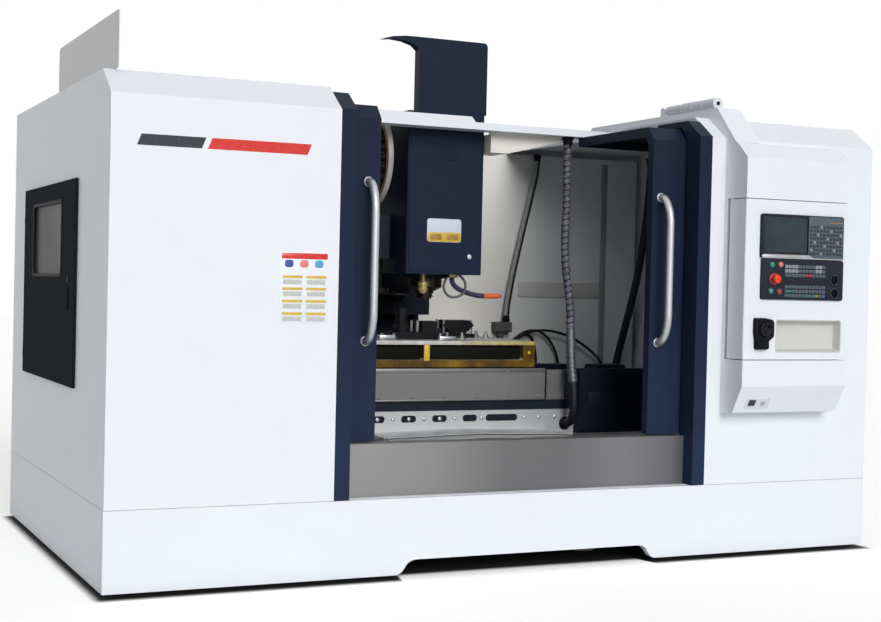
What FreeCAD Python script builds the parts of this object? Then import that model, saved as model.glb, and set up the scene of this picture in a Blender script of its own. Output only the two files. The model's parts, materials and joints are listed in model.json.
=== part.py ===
import FreeCAD, Part
import math
import os
from FreeCAD import Vector as V

# Vertical machining center in a full splash enclosure, in millimetres.
# X runs along the front, Y towards the rear, Z up from the floor.
# Every part is built where it stands: doors open, table left of centre, head low.

# ---------------------------------------------------------------- driving dimensions
HALF_WIDTH = 2050.0      # enclosure, half of 4100
FRONT = -1400.0          # front skin of the white housings
BACK = 952.0             # rear skin of the enclosure
SHEET = 4.0              # skin thickness
RETURN = 40.0            # depth of folded edges
SEAM = 2.0               # gap between two skins
SKIRT_LOW = 20.0
SKIRT_TOP = 375.0
CHAMFER_LOW = 2146.0     # where the front face folds back
ROOF = 2263.0
CHAMFER_RUN = 163.0      # depth of the folded-back strip

PORTAL_HALF = 1010.0     # outer edge of the navy posts
POST_WIDTH = 75.0
POST_DEPTH = 118.0
PORTAL_TOP = 2236.0
PORTAL_ARM = 397.0       # how far the roof arm runs back
ARM_THICK = 30.0

DOOR_FRONT = FRONT + 128.0
DOOR_THICK = 50.0
DOOR_WIDTH = 1000.0
DOOR_LOW = 630.0
DOOR_FOLD = 2130.0
DOOR_TOP = 2196.0
DOOR_FOLD_RUN = 57.0
DOOR_ROOF_END = FRONT + 880.0
LEFT_DOOR_EDGE = -763.0  # closing edges, doors open
RIGHT_DOOR_EDGE = 740.0

BEAM_LOW = 2200.0
BEAM_TOP = 2238.0
BEAM_FRONT = FRONT + 865.0
BEAM_DEPTH = 120.0
CAP_TOP = 2266.0

APRON_FRONT = FRONT + 80.0
APRON_TOP = 622.0
PAN_FLOOR = 470.0
PAN_RIM = 90.0
PAN_FRONT = -1312.0

CONSOLE_LEFT = 1094.0
CONSOLE_RIGHT = 1750.0
CONSOLE_FRONT = FRONT - 183.0
BOX_LOW = 1026.0         # swivelling operator box
BOX_TOP = 1833.0
BOX_BACK = FRONT - 45.0
HINGE_X = CONSOLE_LEFT + 14
HINGE_Y = BOX_BACK - 14
TRAY_X = (1295.0, 1711.0)
TRAY_Z = (1065.0, 1227.0)
PANEL_FACE = CONSOLE_FRONT - 12.0
PENDANT_FACE = CONSOLE_FRONT - 22.0
KEY_PITCH = 33.0
KEY_SIZE = 22.0
BUTTON_R = 13.0
PUSH_BUTTONS = {"start": (1246.0, 1373.0), "hold": (1299.0, 1371.0),
                "power_on": (1251.0, 1506.0), "power_off": (1304.0, 1508.0)}
KNOBS = {"feed": (1652.0, 1437.0), "spindle": (1654.0, 1368.0)}
DIAL_SPOT = (1212.0, 1178.0)
SHAFT_R = 4.0            # shafts of the knobs and the handwheel
STOP_SPOT = (1269.0, 1434.0)
STOP_STEM_R = 11.0
SIDE_HINGE_X = -HALF_WIDTH - 8.0   # hinges of the service door
SIDE_HINGE_Y = 561.0
SIDE_HINGE_R = 5.5
SIDE_HINGE_Z = (930.0, 1640.0)
CABINET_HINGE_X = 1907.0
CABINET_HINGE_Y = 1481.0
CABINET_HINGE_R = 6.5
CABINET_HINGE_Z = (400.0, 1650.0)
LAMP_X = 1160.0
LAMP_HINGE_Y = FRONT + 650.0
LAMP_Z = 2347.0
LAMP_R = 30.0

SPINDLE_Y = -130.0
HEAD_FRONT = -380.0
HEAD_HALF = 228.0
HEAD_LOW = 1422.0
HEAD_TOP = 2296.0

COLUMN_HALF = 400.0
COLUMN_FRONT = 820.0
COLUMN_BACK = 1560.0
COLUMN_TOP = 2415.0
WAY_HALF = 60.0          # half width of a box way
BED_HALF = 650.0
BED_FRONT = -1060.0
BED_TOP = 520.0
BED_WAY_X = 400.0
BED_WAY_TOP = 556.0
FOOT_HEIGHT = 60.0

SADDLE_HALF = 1080.0
SADDLE_Y = (-600.0, 300.0)
SADDLE_LOW = 640.0
SADDLE_DECK = 872.0
SADDLE_WAY_TOP = 905.0
SADDLE_WAYS_Y = (-450.0, 150.0)

HOOD_LEFT = 700.0        # hood over the saddle's right end
HOOD_LOW = 572.0
HOOD_TOP = 925.0

TABLE_X = (-1349.0, 451.0)
TABLE_Y = (-600.0, 300.0)
TABLE_LOW = 932.0
TABLE_TOP = 1070.0
T_SLOT_COUNT = 5
T_SLOT_PITCH = 165.0
T_SLOT_WIDTH = 22.0

SCREW_R = 25.0
RUNNING_GAP = 0.05
SLIDING_GAP = 0.5

COVER_COUNT = 5          # telescopic sections, first fixed and last on the saddle
COVER_LENGTH = 244.0
COVER_STEP = 8.0
COVER_HALF = 500.0
COVER_TOP = 576.0
COVER_SIDE = 50.0
COVER_PITCH = 14.0       # fall of each section from its middle to its edges
COVER_WALL = -1300.0     # where every section starts when the saddle is fully forward
SADDLE_REACH = 450.0     # saddle travel each way

MAGAZINE_Z = 2040.0
MAGAZINE_R = 262.0
MAGAZINE_POTS = 20
MAGAZINE_SHAFT_R = 25.0
MAGAZINE_X = -330.0
ARM_X = -290.0
ARM_LOW = 1296.0
ARM_THICKNESS = 26.0

CABLE_R = 8.5
CABLE_ROUTES = [         # (distance from the front, places along X and Z) of each cable on the rear wall
    (796.0, [(1000, 1000), (1045, 1000), (1100, 1040), (1180, 1076), (1310, 1090), (1476, 1052), (1615, 976),
             (1718, 892), (1772, 796), (1786, 690), (1792, 560)]),
    (815.0, [(1000, 1000), (1045, 1000), (1100, 1042), (1165, 1080), (1255, 1086), (1330, 1038), (1385, 958),
             (1412, 868), (1420, 750), (1414, 630), (1418, 550)]),
    (834.0, [(1000, 1000), (1050, 1000), (1100, 1032), (1150, 1062), (1218, 1046), (1246, 966), (1257, 862),
             (1254, 745), (1259, 640), (1257, 560)]),
]
NOZZLE_HOSE_R = 10.0
NOZZLE_ROUTE = [(85, -300, 1405), (85, -300, 1380), (120, -300, 1345), (198, -300, 1318),
                (280, -300, 1306), (368, -300, 1310)]
BUNDLE_R = 24.0
BUNDLE_ROUTE = [(700, -470, BEAM_LOW), (700, -470, 2130), (693, -478, 2000), (684, -505, 1830),
                (652, -545, 1640), (642, -580, 1460), (654, -618, 1290), (642, -652, 1120),
                (626, -690, 960), (630, -712, 850), (637, -714, 765), (641, -704, 690),
                (643, -672, 640), (643, -632, 625), (643, -606, 625)]

AXES = {"X": V(1, 0, 0), "Y": V(0, 1, 0), "Z": V(0, 0, 1)}


# ---------------------------------------------------------------- helpers
def box(x, y, z):
    """A block between the low and high value on each axis."""
    return Part.makeBox(x[1] - x[0], y[1] - y[0], z[1] - z[0], V(x[0], y[0], z[0]))


def on_plane(axis, height, first, second):
    """A point of a plane square to an axis."""
    if axis == "X":
        return V(height, first, second)
    if axis == "Y":
        return V(first, height, second)
    return V(first, second, height)


def prism(axis, points, span):
    """A closed outline drawn square to an axis and extruded over a span of it."""
    corners = [on_plane(axis, span[0], *p) for p in points]
    face = Part.Face(Part.makePolygon(corners + corners[:1]))
    return face.extrude(AXES[axis] * (span[1] - span[0]))


def rod(axis, centre, radius, length):
    """A round bar that starts at a centre point and runs along an axis."""
    return Part.makeCylinder(radius, length, V(*centre), AXES[axis])


def turned(profile, centre, axis="Z"):
    """A revolved (radius, height) outline about an axis through a centre."""
    corners = [V(r, 0, h) for r, h in profile]
    solid = Part.Face(Part.makePolygon(corners + corners[:1])).revolve(V(), V(0, 0, 1), 360)
    return stood(solid, centre, axis)


def faceted(profile, sides, centre, axis="Z"):
    """A turned form with flat sides, for small pieces and for those that repeat."""
    turns = [2 * math.pi * (k + 0.5) / sides for k in range(sides)]
    rings = [[V(r * math.cos(t), r * math.sin(t), h) for t in turns] for r, h in profile]
    faces = []
    ahead = profile[1:] + profile[:1]
    for (r0, h0), (r1, h1), low, high in zip(profile, ahead, rings, rings[1:] + rings[:1]):
        if r0 == r1 == 0:
            continue
        if h0 == h1 and 0 in (r0, r1):
            ring = low if r1 == 0 else high
            faces.append(Part.Face(Part.makePolygon(ring + ring[:1])))
            continue
        for k in range(sides):
            corners = [low[k]]
            for point in (low[(k + 1) % sides], high[(k + 1) % sides], high[k]):
                if not any(point.isEqual(q, 1e-7) for q in corners):
                    corners.append(point)
            faces.append(Part.Face(Part.makePolygon(corners + corners[:1])))
    solid = Part.Solid(Part.Shell(faces)).removeSplitter()
    return stood(solid, centre, axis)


def stood(solid, centre, axis):
    """A solid made along Z, turned onto another axis and moved to its place."""
    if axis == "X":
        solid.rotate(V(), V(0, 1, 0), 90)
    if axis == "Y":
        solid.rotate(V(), V(1, 0, 0), -90)
    solid.translate(V(*centre))
    return solid


def fuse(shapes):
    """One solid from shapes that touch or overlap."""
    return shapes[0].multiFuse(shapes[1:]).removeSplitter() if len(shapes) > 1 else shapes[0]


def cut(shape, tools):
    """A shape less a list of tools."""
    return shape.cut(tools).removeSplitter()


def shifted(points, distance):
    """An open polyline moved to its right by a distance, with mitred corners."""
    lines = []
    for (a, b), (c, d) in zip(points, points[1:]):
        length = math.hypot(c - a, d - b)
        nx, ny = (d - b) / length * distance, -(c - a) / length * distance
        lines.append(((a + nx, b + ny), (c + nx, d + ny)))
    moved = [lines[0][0]]
    for (p, q), (r, s) in zip(lines, lines[1:]):
        ux, uy, vx, vy = q[0] - p[0], q[1] - p[1], s[0] - r[0], s[1] - r[1]
        t = ((r[0] - p[0]) * vy - (r[1] - p[1]) * vx) / (ux * vy - uy * vx)
        moved.append((p[0] + ux * t, p[1] + uy * t))
    return moved + [lines[-1][1]]


def folded(axis, points, span, thick=SHEET):
    """A folded sheet whose outer face follows an open polyline."""
    return prism(axis, points + shifted(points, thick)[::-1], span)


def pan(points, span, depth=RETURN):
    """A panel folded along X with flanged ends, open towards its inner side."""
    outer = folded("X", points, span, depth)
    inner = points_between(points, SHEET, depth + 1.0)
    return outer.cut(prism("X", inner, (span[0] + SHEET, span[1] - SHEET)))


def points_between(points, near, far):
    """The closed outline between two shifted copies of a polyline."""
    return shifted(points, near) + shifted(points, far)[::-1]


def mirrored(shape):
    """The same shape on the other side of the machine's middle plane."""
    return shape.mirror(V(), V(1, 0, 0))


def vertical_edges(shape, axis="Z"):
    """Straight edges that run along an axis."""
    found = []
    for edge in shape.Edges:
        if len(edge.Vertexes) == 2:
            run = edge.Vertexes[1].Point - edge.Vertexes[0].Point
            if run.Length > 1e-6 and abs(run.normalize().dot(AXES[axis])) > 0.999:
                found.append(edge)
    return found


def bevelled_plate(axis, first, second, span, bevel):
    """A plate with bevelled corners, drawn square to an axis."""
    (a, b), (c, d) = first, second
    return prism(axis, [(a, c + bevel), (a + bevel, c), (b - bevel, c), (b, c + bevel),
                        (b, d - bevel), (b - bevel, d), (a + bevel, d), (a, d - bevel)], span)


def rounded_plate(axis, first, second, span, radius):
    """A plate with rounded corners, drawn square to an axis."""
    corners = [(first[0], second[0]), (first[1], second[0]),
               (first[1], second[1]), (first[0], second[1])]
    plate = prism(axis, corners, span)
    return plate.makeFillet(radius, vertical_edges(plate, axis))


def tube_path(points, share=0.45):
    """Straight runs joined by tangent arcs as large as the runs allow."""
    points = [V(*p) for p in points]
    edges = []
    start = points[0]
    for before, corner, after in zip(points, points[1:], points[2:]):
        back, ahead = before - corner, after - corner
        setback = share * min(back.Length, ahead.Length)
        back.normalize()
        ahead.normalize()
        half_turn = (math.pi - back.getAngle(ahead)) / 2
        radius = setback / math.tan(half_turn)
        middle = back + ahead
        middle.normalize()
        centre = corner + middle * (radius / math.cos(half_turn))
        first, last = corner + back * setback, corner + ahead * setback
        edges.append(Part.LineSegment(start, first).toShape())
        edges.append(Part.Arc(first, centre - middle * radius, last).toShape())
        start = last
        print("arc radius %.0f" % radius)
    edges.append(Part.LineSegment(start, points[-1]).toShape())
    return Part.Wire(edges)


def tube(points, radius, sides=6):
    """A cord or tube along a route, with flat sides and the area of its round section."""
    path = tube_path(points)
    start = V(*points[0])
    along = V(*points[1]) - start
    across = V(1, 0, 0) if abs(along.x) < 0.5 * along.Length else V(0, 1, 0)
    third = along.cross(across).normalize()
    across = third.cross(along).normalize()
    corner = radius * math.sqrt(2 * math.pi / (sides * math.sin(2 * math.pi / sides)))
    turns = [2 * math.pi * (k + 0.5) / sides for k in range(sides)]
    ring = [start + across * (corner * math.cos(t)) + third * (corner * math.sin(t)) for t in turns]
    solid = path.makePipeShell([Part.makePolygon(ring + ring[:1])], True, False)
    print("tube volume ratio %.3f" % (solid.Volume / (math.pi * radius ** 2 * path.Length)))
    return solid


def knuckles(x, y, radius, spans):
    """Hinge knuckles on an upright axis."""
    return [rod("Z", (x, y, low), radius, high - low) for low, high in spans]


# ---------------------------------------------------------------- base and castings
def leveling_feet():
    """Eight leveling feet: a pad with its stud."""
    pad = [(0, 0), (70, 0), (70, 12), (40, 24), (24, 24), (24, FOOT_HEIGHT), (0, FOOT_HEIGHT)]
    spots = [(x, y) for x in (-560, 560) for y in (-960, -150, 660, 1440)]
    return Part.makeCompound([faceted(pad, 8, (x, y, 0)) for x, y in spots])


def servo_motor(axis, centre, length, half=80.0):
    """A square servo motor with chamfered corners, seen along its shaft."""
    first, second = {"X": (1, 2), "Y": (0, 2), "Z": (0, 1)}[axis]
    spans = [(centre[i] - half, centre[i] + half) for i in (first, second)]
    start = centre["XYZ".index(axis)]
    return bevelled_plate(axis, *spans, (start, start + length), 18)


def bed():
    """Bed casting: ribbed from below, two box ways on top and a trough for the screw."""
    body = box((-BED_HALF, BED_HALF), (BED_FRONT, COLUMN_BACK), (FOOT_HEIGHT, BED_TOP))
    pockets = []
    wall, top = 35.0, 60.0
    bays_x, bays_y = 3, 6
    bay_x = (2 * BED_HALF - wall) / bays_x
    bay_y = (COLUMN_BACK - BED_FRONT - wall) / bays_y
    for i in range(bays_x):
        for j in range(bays_y):
            x0 = -BED_HALF + wall + i * bay_x
            y0 = BED_FRONT + wall + j * bay_y
            pockets.append(box((x0, x0 + bay_x - wall), (y0, y0 + bay_y - wall),
                               (FOOT_HEIGHT - 1, BED_TOP - top - 50)))
    foot_bosses = [box((x - 55, x + 55), (y - 55, y + 55), (FOOT_HEIGHT, FOOT_HEIGHT + 40))
                   for x in (-560, 560) for y in (-960, -150, 660, 1440)]
    trough = box((-110, 110), (BED_FRONT + 130, 720), (BED_TOP - 50, BED_TOP + 1))
    ways = [box((x - WAY_HALF, x + WAY_HALF), (BED_FRONT + 5, 790), (BED_TOP, BED_WAY_TOP))
            for x in (-BED_WAY_X, BED_WAY_X)]
    casting = cut(body, pockets + [trough])
    bearings = [box((-55, 55), y, (BED_TOP - 50, BED_TOP + 40)) for y in ((-930, -880), (680, 720))]
    casting = fuse([casting] + foot_bosses + ways + bearings)
    screw_hole = rod("Y", (0, BED_FRONT + 60, BED_TOP - 12), SCREW_R + RUNNING_GAP, 1760)
    motor_seat = box((-90, 90), (BED_FRONT - 1, -960), (BED_TOP - 70, BED_TOP + 1))
    motor = servo_motor("Y", (0, BED_FRONT + 10, BED_TOP - 12), 90, 46.0)
    return fuse([cut(casting, [motor_seat, screw_hole]), motor])


def column():
    """Column casting: ribbed box section with rear windows, two box ways, a recess for the screw."""
    wall = 35.0
    rib = 30.0
    outline = [(-COLUMN_HALF, COLUMN_FRONT), (COLUMN_HALF, COLUMN_FRONT),
               (COLUMN_HALF, 1300), (330, COLUMN_BACK), (-330, COLUMN_BACK), (-COLUMN_HALF, 1300)]
    body = prism("Z", outline, (BED_TOP, COLUMN_TOP))
    inside = [(-COLUMN_HALF + wall, COLUMN_FRONT + 190), (COLUMN_HALF - wall, COLUMN_FRONT + 190),
              (COLUMN_HALF - wall, 1290), (300, COLUMN_BACK - wall), (-300, COLUMN_BACK - wall),
              (-COLUMN_HALF + wall, 1290)]
    hollow = prism("Z", inside, (BED_TOP - 1, COLUMN_TOP - wall))
    depth = (COLUMN_FRONT, COLUMN_BACK)
    ribs = [box((-rib / 2, rib / 2), depth, (BED_TOP - 2, COLUMN_TOP))]
    ribs += [box((-COLUMN_HALF, COLUMN_HALF), depth, (z, z + rib)) for z in (1200, 1730)]
    hollow = hollow.cut(ribs)
    rear_wall = (COLUMN_BACK - wall - 1, COLUMN_BACK + 1)
    windows = [bevelled_plate("Y", (-200, 200), (z, z + 380), rear_wall, 40)
               for z in (760, 1290, 1820)]
    recess = box((-130, 130), (COLUMN_FRONT - 1, COLUMN_FRONT + 150), (1100, COLUMN_TOP - 60))
    ways = [box((x - WAY_HALF, x + WAY_HALF), (COLUMN_FRONT - 45, COLUMN_FRONT), (1150, 2400))
            for x in (-300, 300)]
    bearings = [box((-130, 130), (COLUMN_FRONT + 10, COLUMN_FRONT + 150), z)
                for z in ((1130, 1170), (2130, 2170))]
    casting = cut(body, [hollow, recess] + windows)
    casting = fuse([casting] + ways + bearings)
    screw_hole = rod("Z", (0, COLUMN_FRONT + 70, 1140), SCREW_R + RUNNING_GAP, 1040)
    motor = servo_motor("Z", (0, COLUMN_FRONT + 70, 2190), 165)
    return fuse([casting.cut(screw_hole), motor])


def ball_screw(axis, centre, length):
    """A ground screw shaft."""
    return rod(axis, centre, SCREW_R, length)


def saddle():
    """Saddle casting: long cross slide with X ways on top, Y pads and screw nut below."""
    y0, y1 = SADDLE_Y
    flange = box((-SADDLE_HALF - 10, SADDLE_HALF + 10), (y0 - 4, y1), (704, 756))
    lower = box((-SADDLE_HALF, SADDLE_HALF), (y0, y1), (SADDLE_LOW, 704.5))
    upper = prism("X", [(y0 + 4, 756), (y1, 756), (y1 - 40, SADDLE_DECK), (y0 + 40, SADDLE_DECK)],
                  (-SADDLE_HALF, SADDLE_HALF))
    ways = [box((-SADDLE_HALF, SADDLE_HALF), (y - WAY_HALF, y + WAY_HALF), (SADDLE_DECK, SADDLE_WAY_TOP))
            for y in SADDLE_WAYS_Y]
    pads = [box((x - 85, x + 85), (y0 + 20, y1 - 20), (BED_WAY_TOP + SLIDING_GAP, SADDLE_LOW))
            for x in (-BED_WAY_X, BED_WAY_X)]
    nut = box((-60, 60), (-190, -110), (BED_TOP - 45, SADDLE_LOW))
    pockets = [box(x, y, (SADDLE_LOW - 1, 740))
               for x in ((-1040, -795), (-765, -520), (-280, -80), (80, 280), (520, 765), (795, 1040))
               for y in ((y0 + 40, -165), (-135, y1 - 40))]
    trough = box((-SADDLE_HALF + 60, SADDLE_HALF - 60), (-250, -50), (790, SADDLE_DECK + 1))
    body = cut(fuse([flange, lower, upper] + ways + pads + [nut]), pockets + [trough])
    x_hole = rod("X", (-SADDLE_HALF + 20, -150, 840), SCREW_R + RUNNING_GAP, 2 * SADDLE_HALF - 40)
    y_hole = rod("Y", (0, -195, BED_TOP - 12), SCREW_R + RUNNING_GAP, 90)
    motor = servo_motor("X", (SADDLE_HALF, -150, 840), 190)
    motor_hood = motor_cover()
    return fuse([cut(body, [x_hole, y_hole]), motor, motor_hood])


def motor_cover():
    """Hood over the right front end of the saddle, beside the hoses."""
    back, front, bevel = SADDLE_Y[0], SADDLE_Y[0] - 60.0, 20.0
    outline = [(back, HOOD_LOW), (back, HOOD_TOP), (front + bevel, HOOD_TOP), (front, HOOD_TOP - bevel),
               (front, HOOD_LOW + bevel), (front + bevel, HOOD_LOW)]
    return prism("X", outline, (HOOD_LEFT, SADDLE_HALF + 40))


def saddle_guards():
    """Two steel aprons, slotted drain strip and the last telescopic section, all on the saddle."""
    front = SADDLE_Y[0]
    aprons = [pan([(front, 756), (front - out, 756), (front - out, top), (front, top)], span, 7.0)
              for out, top, span in ((22, 926, (-500, 506)), (12, 918, (522, 634)))]
    strip = box((-HOOD_LEFT + 1, HOOD_LEFT - 1), (front - 6, front), (BED_WAY_TOP + 4, 703))
    spans = [(x - 42, x + 42) for x in range(-648, 65, 178)] + [(159, 349)]
    slots = [bevelled_plate("Y", span, (644, 680), (front - 7, front + 1), 10) for span in spans]
    return Part.makeCompound(aprons + [cut(strip, slots), cover_section(COVER_COUNT - 1)])


def cover_section(index):
    """One telescopic section: a pitched steel roof with turned-down sides and a front lip."""
    half = COVER_HALF + index * COVER_STEP
    top = COVER_TOP + index * COVER_STEP
    start = COVER_WALL + SADDLE_REACH * index / (COVER_COUNT - 1)
    length = COVER_LENGTH
    if index == 0:
        start, length = PAN_FRONT + 1, COVER_LENGTH + COVER_WALL - PAN_FRONT - 1
    outline = [(-half, top - COVER_SIDE), (-half, top - COVER_PITCH), (0, top),
               (half, top - COVER_PITCH), (half, top - COVER_SIDE)]
    return prism("Y", outline + shifted(outline, 3.0)[::-1], (start, start + length))


def table():
    """Work table: T-slots, pockets in the front face, pads and nut below."""
    x0, x1 = TABLE_X
    y0, y1 = TABLE_Y
    slab = box(TABLE_X, TABLE_Y, (TABLE_LOW, TABLE_TOP))
    middle = (y0 + y1) / 2
    cutters = []
    for i in range(T_SLOT_COUNT):
        y = middle + (i - (T_SLOT_COUNT - 1) / 2) * T_SLOT_PITCH
        neck, head = T_SLOT_WIDTH / 2, T_SLOT_WIDTH / 2 + 8
        slot = [(y - neck, TABLE_TOP + 1), (y - neck, TABLE_TOP - 22), (y - head, TABLE_TOP - 22),
                (y - head, TABLE_TOP - 38), (y + head, TABLE_TOP - 38), (y + head, TABLE_TOP - 22),
                (y + neck, TABLE_TOP - 22), (y + neck, TABLE_TOP + 1)]
        cutters.append(prism("X", slot, (x0 - 1, x1 + 1)))
    for px in ((-1277, -803), (-766, -212), (-175, 379)):
        cutters.append(bevelled_plate("Y", px, (970, 1050), (y0 - 1, y0 + 26), 8))
    for px in ((x0 + 60, -560), (-340, x1 - 60)):
        for py in ((y0 + 60, -520), (-380, -220), (-80, 80), (220, y1 - 40)):
            cutters.append(box(px, py, (TABLE_LOW - 1, 1000)))
    pads = [box(TABLE_X, (y - WAY_HALF - 15, y + WAY_HALF + 15), (SADDLE_WAY_TOP + SLIDING_GAP, TABLE_LOW))
            for y in SADDLE_WAYS_Y]
    nut_x = (x0 + x1) / 2
    nut = box((nut_x - 60, nut_x + 60), (-200, -100), (806, TABLE_LOW + 5))
    hole = rod("X", (nut_x - 61, -150, 840), SCREW_R + RUNNING_GAP, 122)
    return fuse([cut(slab, cutters)] + pads + [nut.cut(hole)])


def fixture_blocks():
    """Three dark fixtures clamped on the table: stepped vice block, dovetail block, post."""
    z = TABLE_TOP
    vice = prism("Y", [(-170, z), (-16, z), (-16, z + 60), (-40, z + 60), (-40, z + 98),
                       (-130, z + 98), (-130, z + 40), (-170, z + 40)], (-400, -290))
    dovetail = prism("Y", [(110, z), (320, z), (320, z + 22), (260, z + 22), (315, z + 70),
                           (285, z + 98), (155, z + 98), (120, z + 70), (170, z + 22),
                           (110, z + 22)], (-130, -10))
    post_base = box((-305, -175), (-430, -300), (z, z + 40))
    post = faceted([(0, 0), (50, 0), (50, 20), (34, 40), (34, 125), (0, 125)], 16, (-240, -365, z + 40))
    return Part.makeCompound([vice, dovetail, fuse([post_base, post])])


# ---------------------------------------------------------------- head and tool changer
def head_casting():
    """Head casting: carriage on the column ways, arm to the spindle, housing and spindle motor."""
    carriage = box((-370, 370), (600, COLUMN_FRONT - 45 - SLIDING_GAP), (1180, 1700))
    arm = prism("X", [(600, 1260), (600, 1980), (-60, 2000), (-300, 1960), (-300, 1450), (200, 1450)],
                (-180, 180))
    neck = box((-60, 180), (-330, -70), (1900, 2300))
    housing = [(0, 1400), (112, 1400), (125, 1413), (125, 1500), (0, 1500)]
    housing = faceted(housing, 24, (0, SPINDLE_Y, 0))
    pads = [box(x, (-220, -140), (1700, 1760))
            for x in ((-HEAD_HALF + SHEET, -180), (180, HEAD_HALF - SHEET))]
    nut = box((-60, 60), (700, COLUMN_FRONT + 100), (1205, 1285))
    nut_hole = rod("Z", (0, COLUMN_FRONT + 70, 1200), SCREW_R + RUNNING_GAP, 90)
    bore = rod("Z", (0, SPINDLE_Y, 1399), 60 + RUNNING_GAP, 60)
    motor = servo_motor("Z", (60, -215, 2300), 330)
    core = prism("X", [(555, 1330), (555, 1940), (-40, 1950), (-40, 1500), (230, 1500)], (-140, 140))
    core_hole = box((-100, 100), (80, 520), (1900, 2010))
    body = fuse([carriage, arm, neck, housing, nut] + pads)
    return fuse([cut(body, [nut_hole, bore, core, core_hole]), motor, coolant_nozzle()])


def coolant_nozzle():
    """Manifold below the head with its segmented coolant hose and tip."""
    x, y, low = NOZZLE_ROUTE[0]
    manifold = box((x - 25, x + 25), (y - 20, y + 20), (low, 1460))
    hose = tube(NOZZLE_ROUTE, NOZZLE_HOSE_R)
    end = NOZZLE_ROUTE[-1]
    tip = faceted([(0, 0), (13, 0), (7, 34), (0, 34)], 8, (end[0] - 8, y, end[2]), "X")
    return fuse([manifold, hose, tip])


def head_cover():
    """Sheet-metal cover round the head: open below and behind, raised service panel in front."""
    outer = box((-HEAD_HALF, HEAD_HALF), (HEAD_FRONT, 550), (HEAD_LOW, HEAD_TOP))
    rounded = outer.makeFillet(14, vertical_edges(outer))
    inner = box((-HEAD_HALF + SHEET, HEAD_HALF - SHEET), (HEAD_FRONT + SHEET, 551),
                (HEAD_LOW - 1, HEAD_TOP - SHEET))
    neck_hole = box((-64, 184), (-334, -66), (HEAD_TOP - 10, HEAD_TOP + 1))
    shell = cut(rounded, [inner, neck_hole])
    panel = bevelled_plate("Y", (-215, 200), (1438, 2170), (HEAD_FRONT - 5, HEAD_FRONT), 5)
    return fuse([shell, panel])


def motor_shield():
    """Shield in front of the spindle motor with a drooping cable lip at its top left."""
    plate = box((-175, 234), (HEAD_FRONT, HEAD_FRONT + 60), (HEAD_TOP, 2690))
    top_right = [e for e in vertical_edges(plate, "Y")
                 if e.CenterOfMass.z > 2600 and e.CenterOfMass.x > 0]
    plate = plate.makeFillet(24, top_right)
    plate = plate.cut(box((-171, 230), (HEAD_FRONT + SHEET, HEAD_FRONT + 61), (HEAD_TOP - 1, 2686)))
    lip_points = [(-171, 2690), (-255, 2689), (-330, 2680), (-385, 2664), (-330, 2670),
                  (-262, 2664), (-205, 2648), (-171, 2618)]
    lip = prism("Y", lip_points, (HEAD_FRONT, HEAD_FRONT + 60))
    foot = box((-175, 234), (HEAD_FRONT + SHEET, HEAD_FRONT + 44), (HEAD_TOP, HEAD_TOP + SHEET))
    return fuse([plate, lip, foot])


def spindle():
    """Spindle nose with a tool holder: shaft, flange, grooved holder and short cutter."""
    holder = [(0, 1278), (12, 1278), (12, 1288), (40, 1288), (40, 1296), (50, 1299), (50, 1303),
              (44, 1306), (44, 1316), (50, 1319), (50, 1331), (0, 1331)]
    nose = [(0, 1330), (56, 1330), (96, 1352), (96, 1399.5), (0, 1399.5)]
    place = (0, SPINDLE_Y, 0)
    shaft = rod("Z", (0, SPINDLE_Y, 1399), 60, 51)
    return fuse([shaft, faceted(nose, 24, place), faceted(holder, 16, place)])


def magazine_disc():
    """Tool magazine: rimmed carrier disc with its ring of closed tool pots."""
    middle = (MAGAZINE_X, SPINDLE_Y, MAGAZINE_Z)
    disc = faceted([(0, -4), (232, -4), (232, -15), (MAGAZINE_R, -15), (MAGAZINE_R, 15),
                    (232, 15), (232, 4), (0, 4)], 32, middle, "X")
    behind = (MAGAZINE_X - 162, SPINDLE_Y, MAGAZINE_Z)
    hub = faceted([(0, 60), (62, 60), (62, 160), (0, 160)], 12, behind, "X")
    shaft = rod("X", behind, MAGAZINE_SHAFT_R, 61)
    pot = [(0, 0), (26, 0), (26, 118), (0, 118)]
    pots = []
    for i in range(MAGAZINE_POTS):
        angle = 2 * math.pi * i / MAGAZINE_POTS
        y = SPINDLE_Y + 200 * math.sin(angle)
        z = MAGAZINE_Z + 200 * math.cos(angle)
        pots.append(faceted(pot, 6, (MAGAZINE_X - 96, y, z), "X"))
    return fuse([disc, hub, shaft] + pots)


def magazine_carrier():
    """Plate that carries the magazine from the column's side, with the cam box of the arm."""
    x0, x1 = -500.0, -470.0
    outline = [(-220, 1500), (-40, 1500), (-40, 1900), (400, 1960), (1000, 1940), (1000, 2120),
               (400, 2120), (0, 2130), (-180, 2130), (-220, 2080)]
    plate = prism("X", outline, (x0, x1))
    bracket = box((x1, -COLUMN_HALF), (900, 1000), (1950, 2110))
    foot = box((x1, -380), (-210, -50), (1520, 1700))
    cam_box = box((-380, -240), (-210, -50), (1500, 1740))
    cam_box = cam_box.makeChamfer(14, vertical_edges(cam_box))
    hub_hole = rod("X", (x0 - 1, SPINDLE_Y, MAGAZINE_Z), MAGAZINE_SHAFT_R + RUNNING_GAP, 32)
    shaft_hole = rod("Z", (ARM_X, SPINDLE_Y, 1499), 30 + RUNNING_GAP, 120)
    return cut(fuse([plate, bracket, foot, cam_box]), [hub_hole, shaft_hole])


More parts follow.
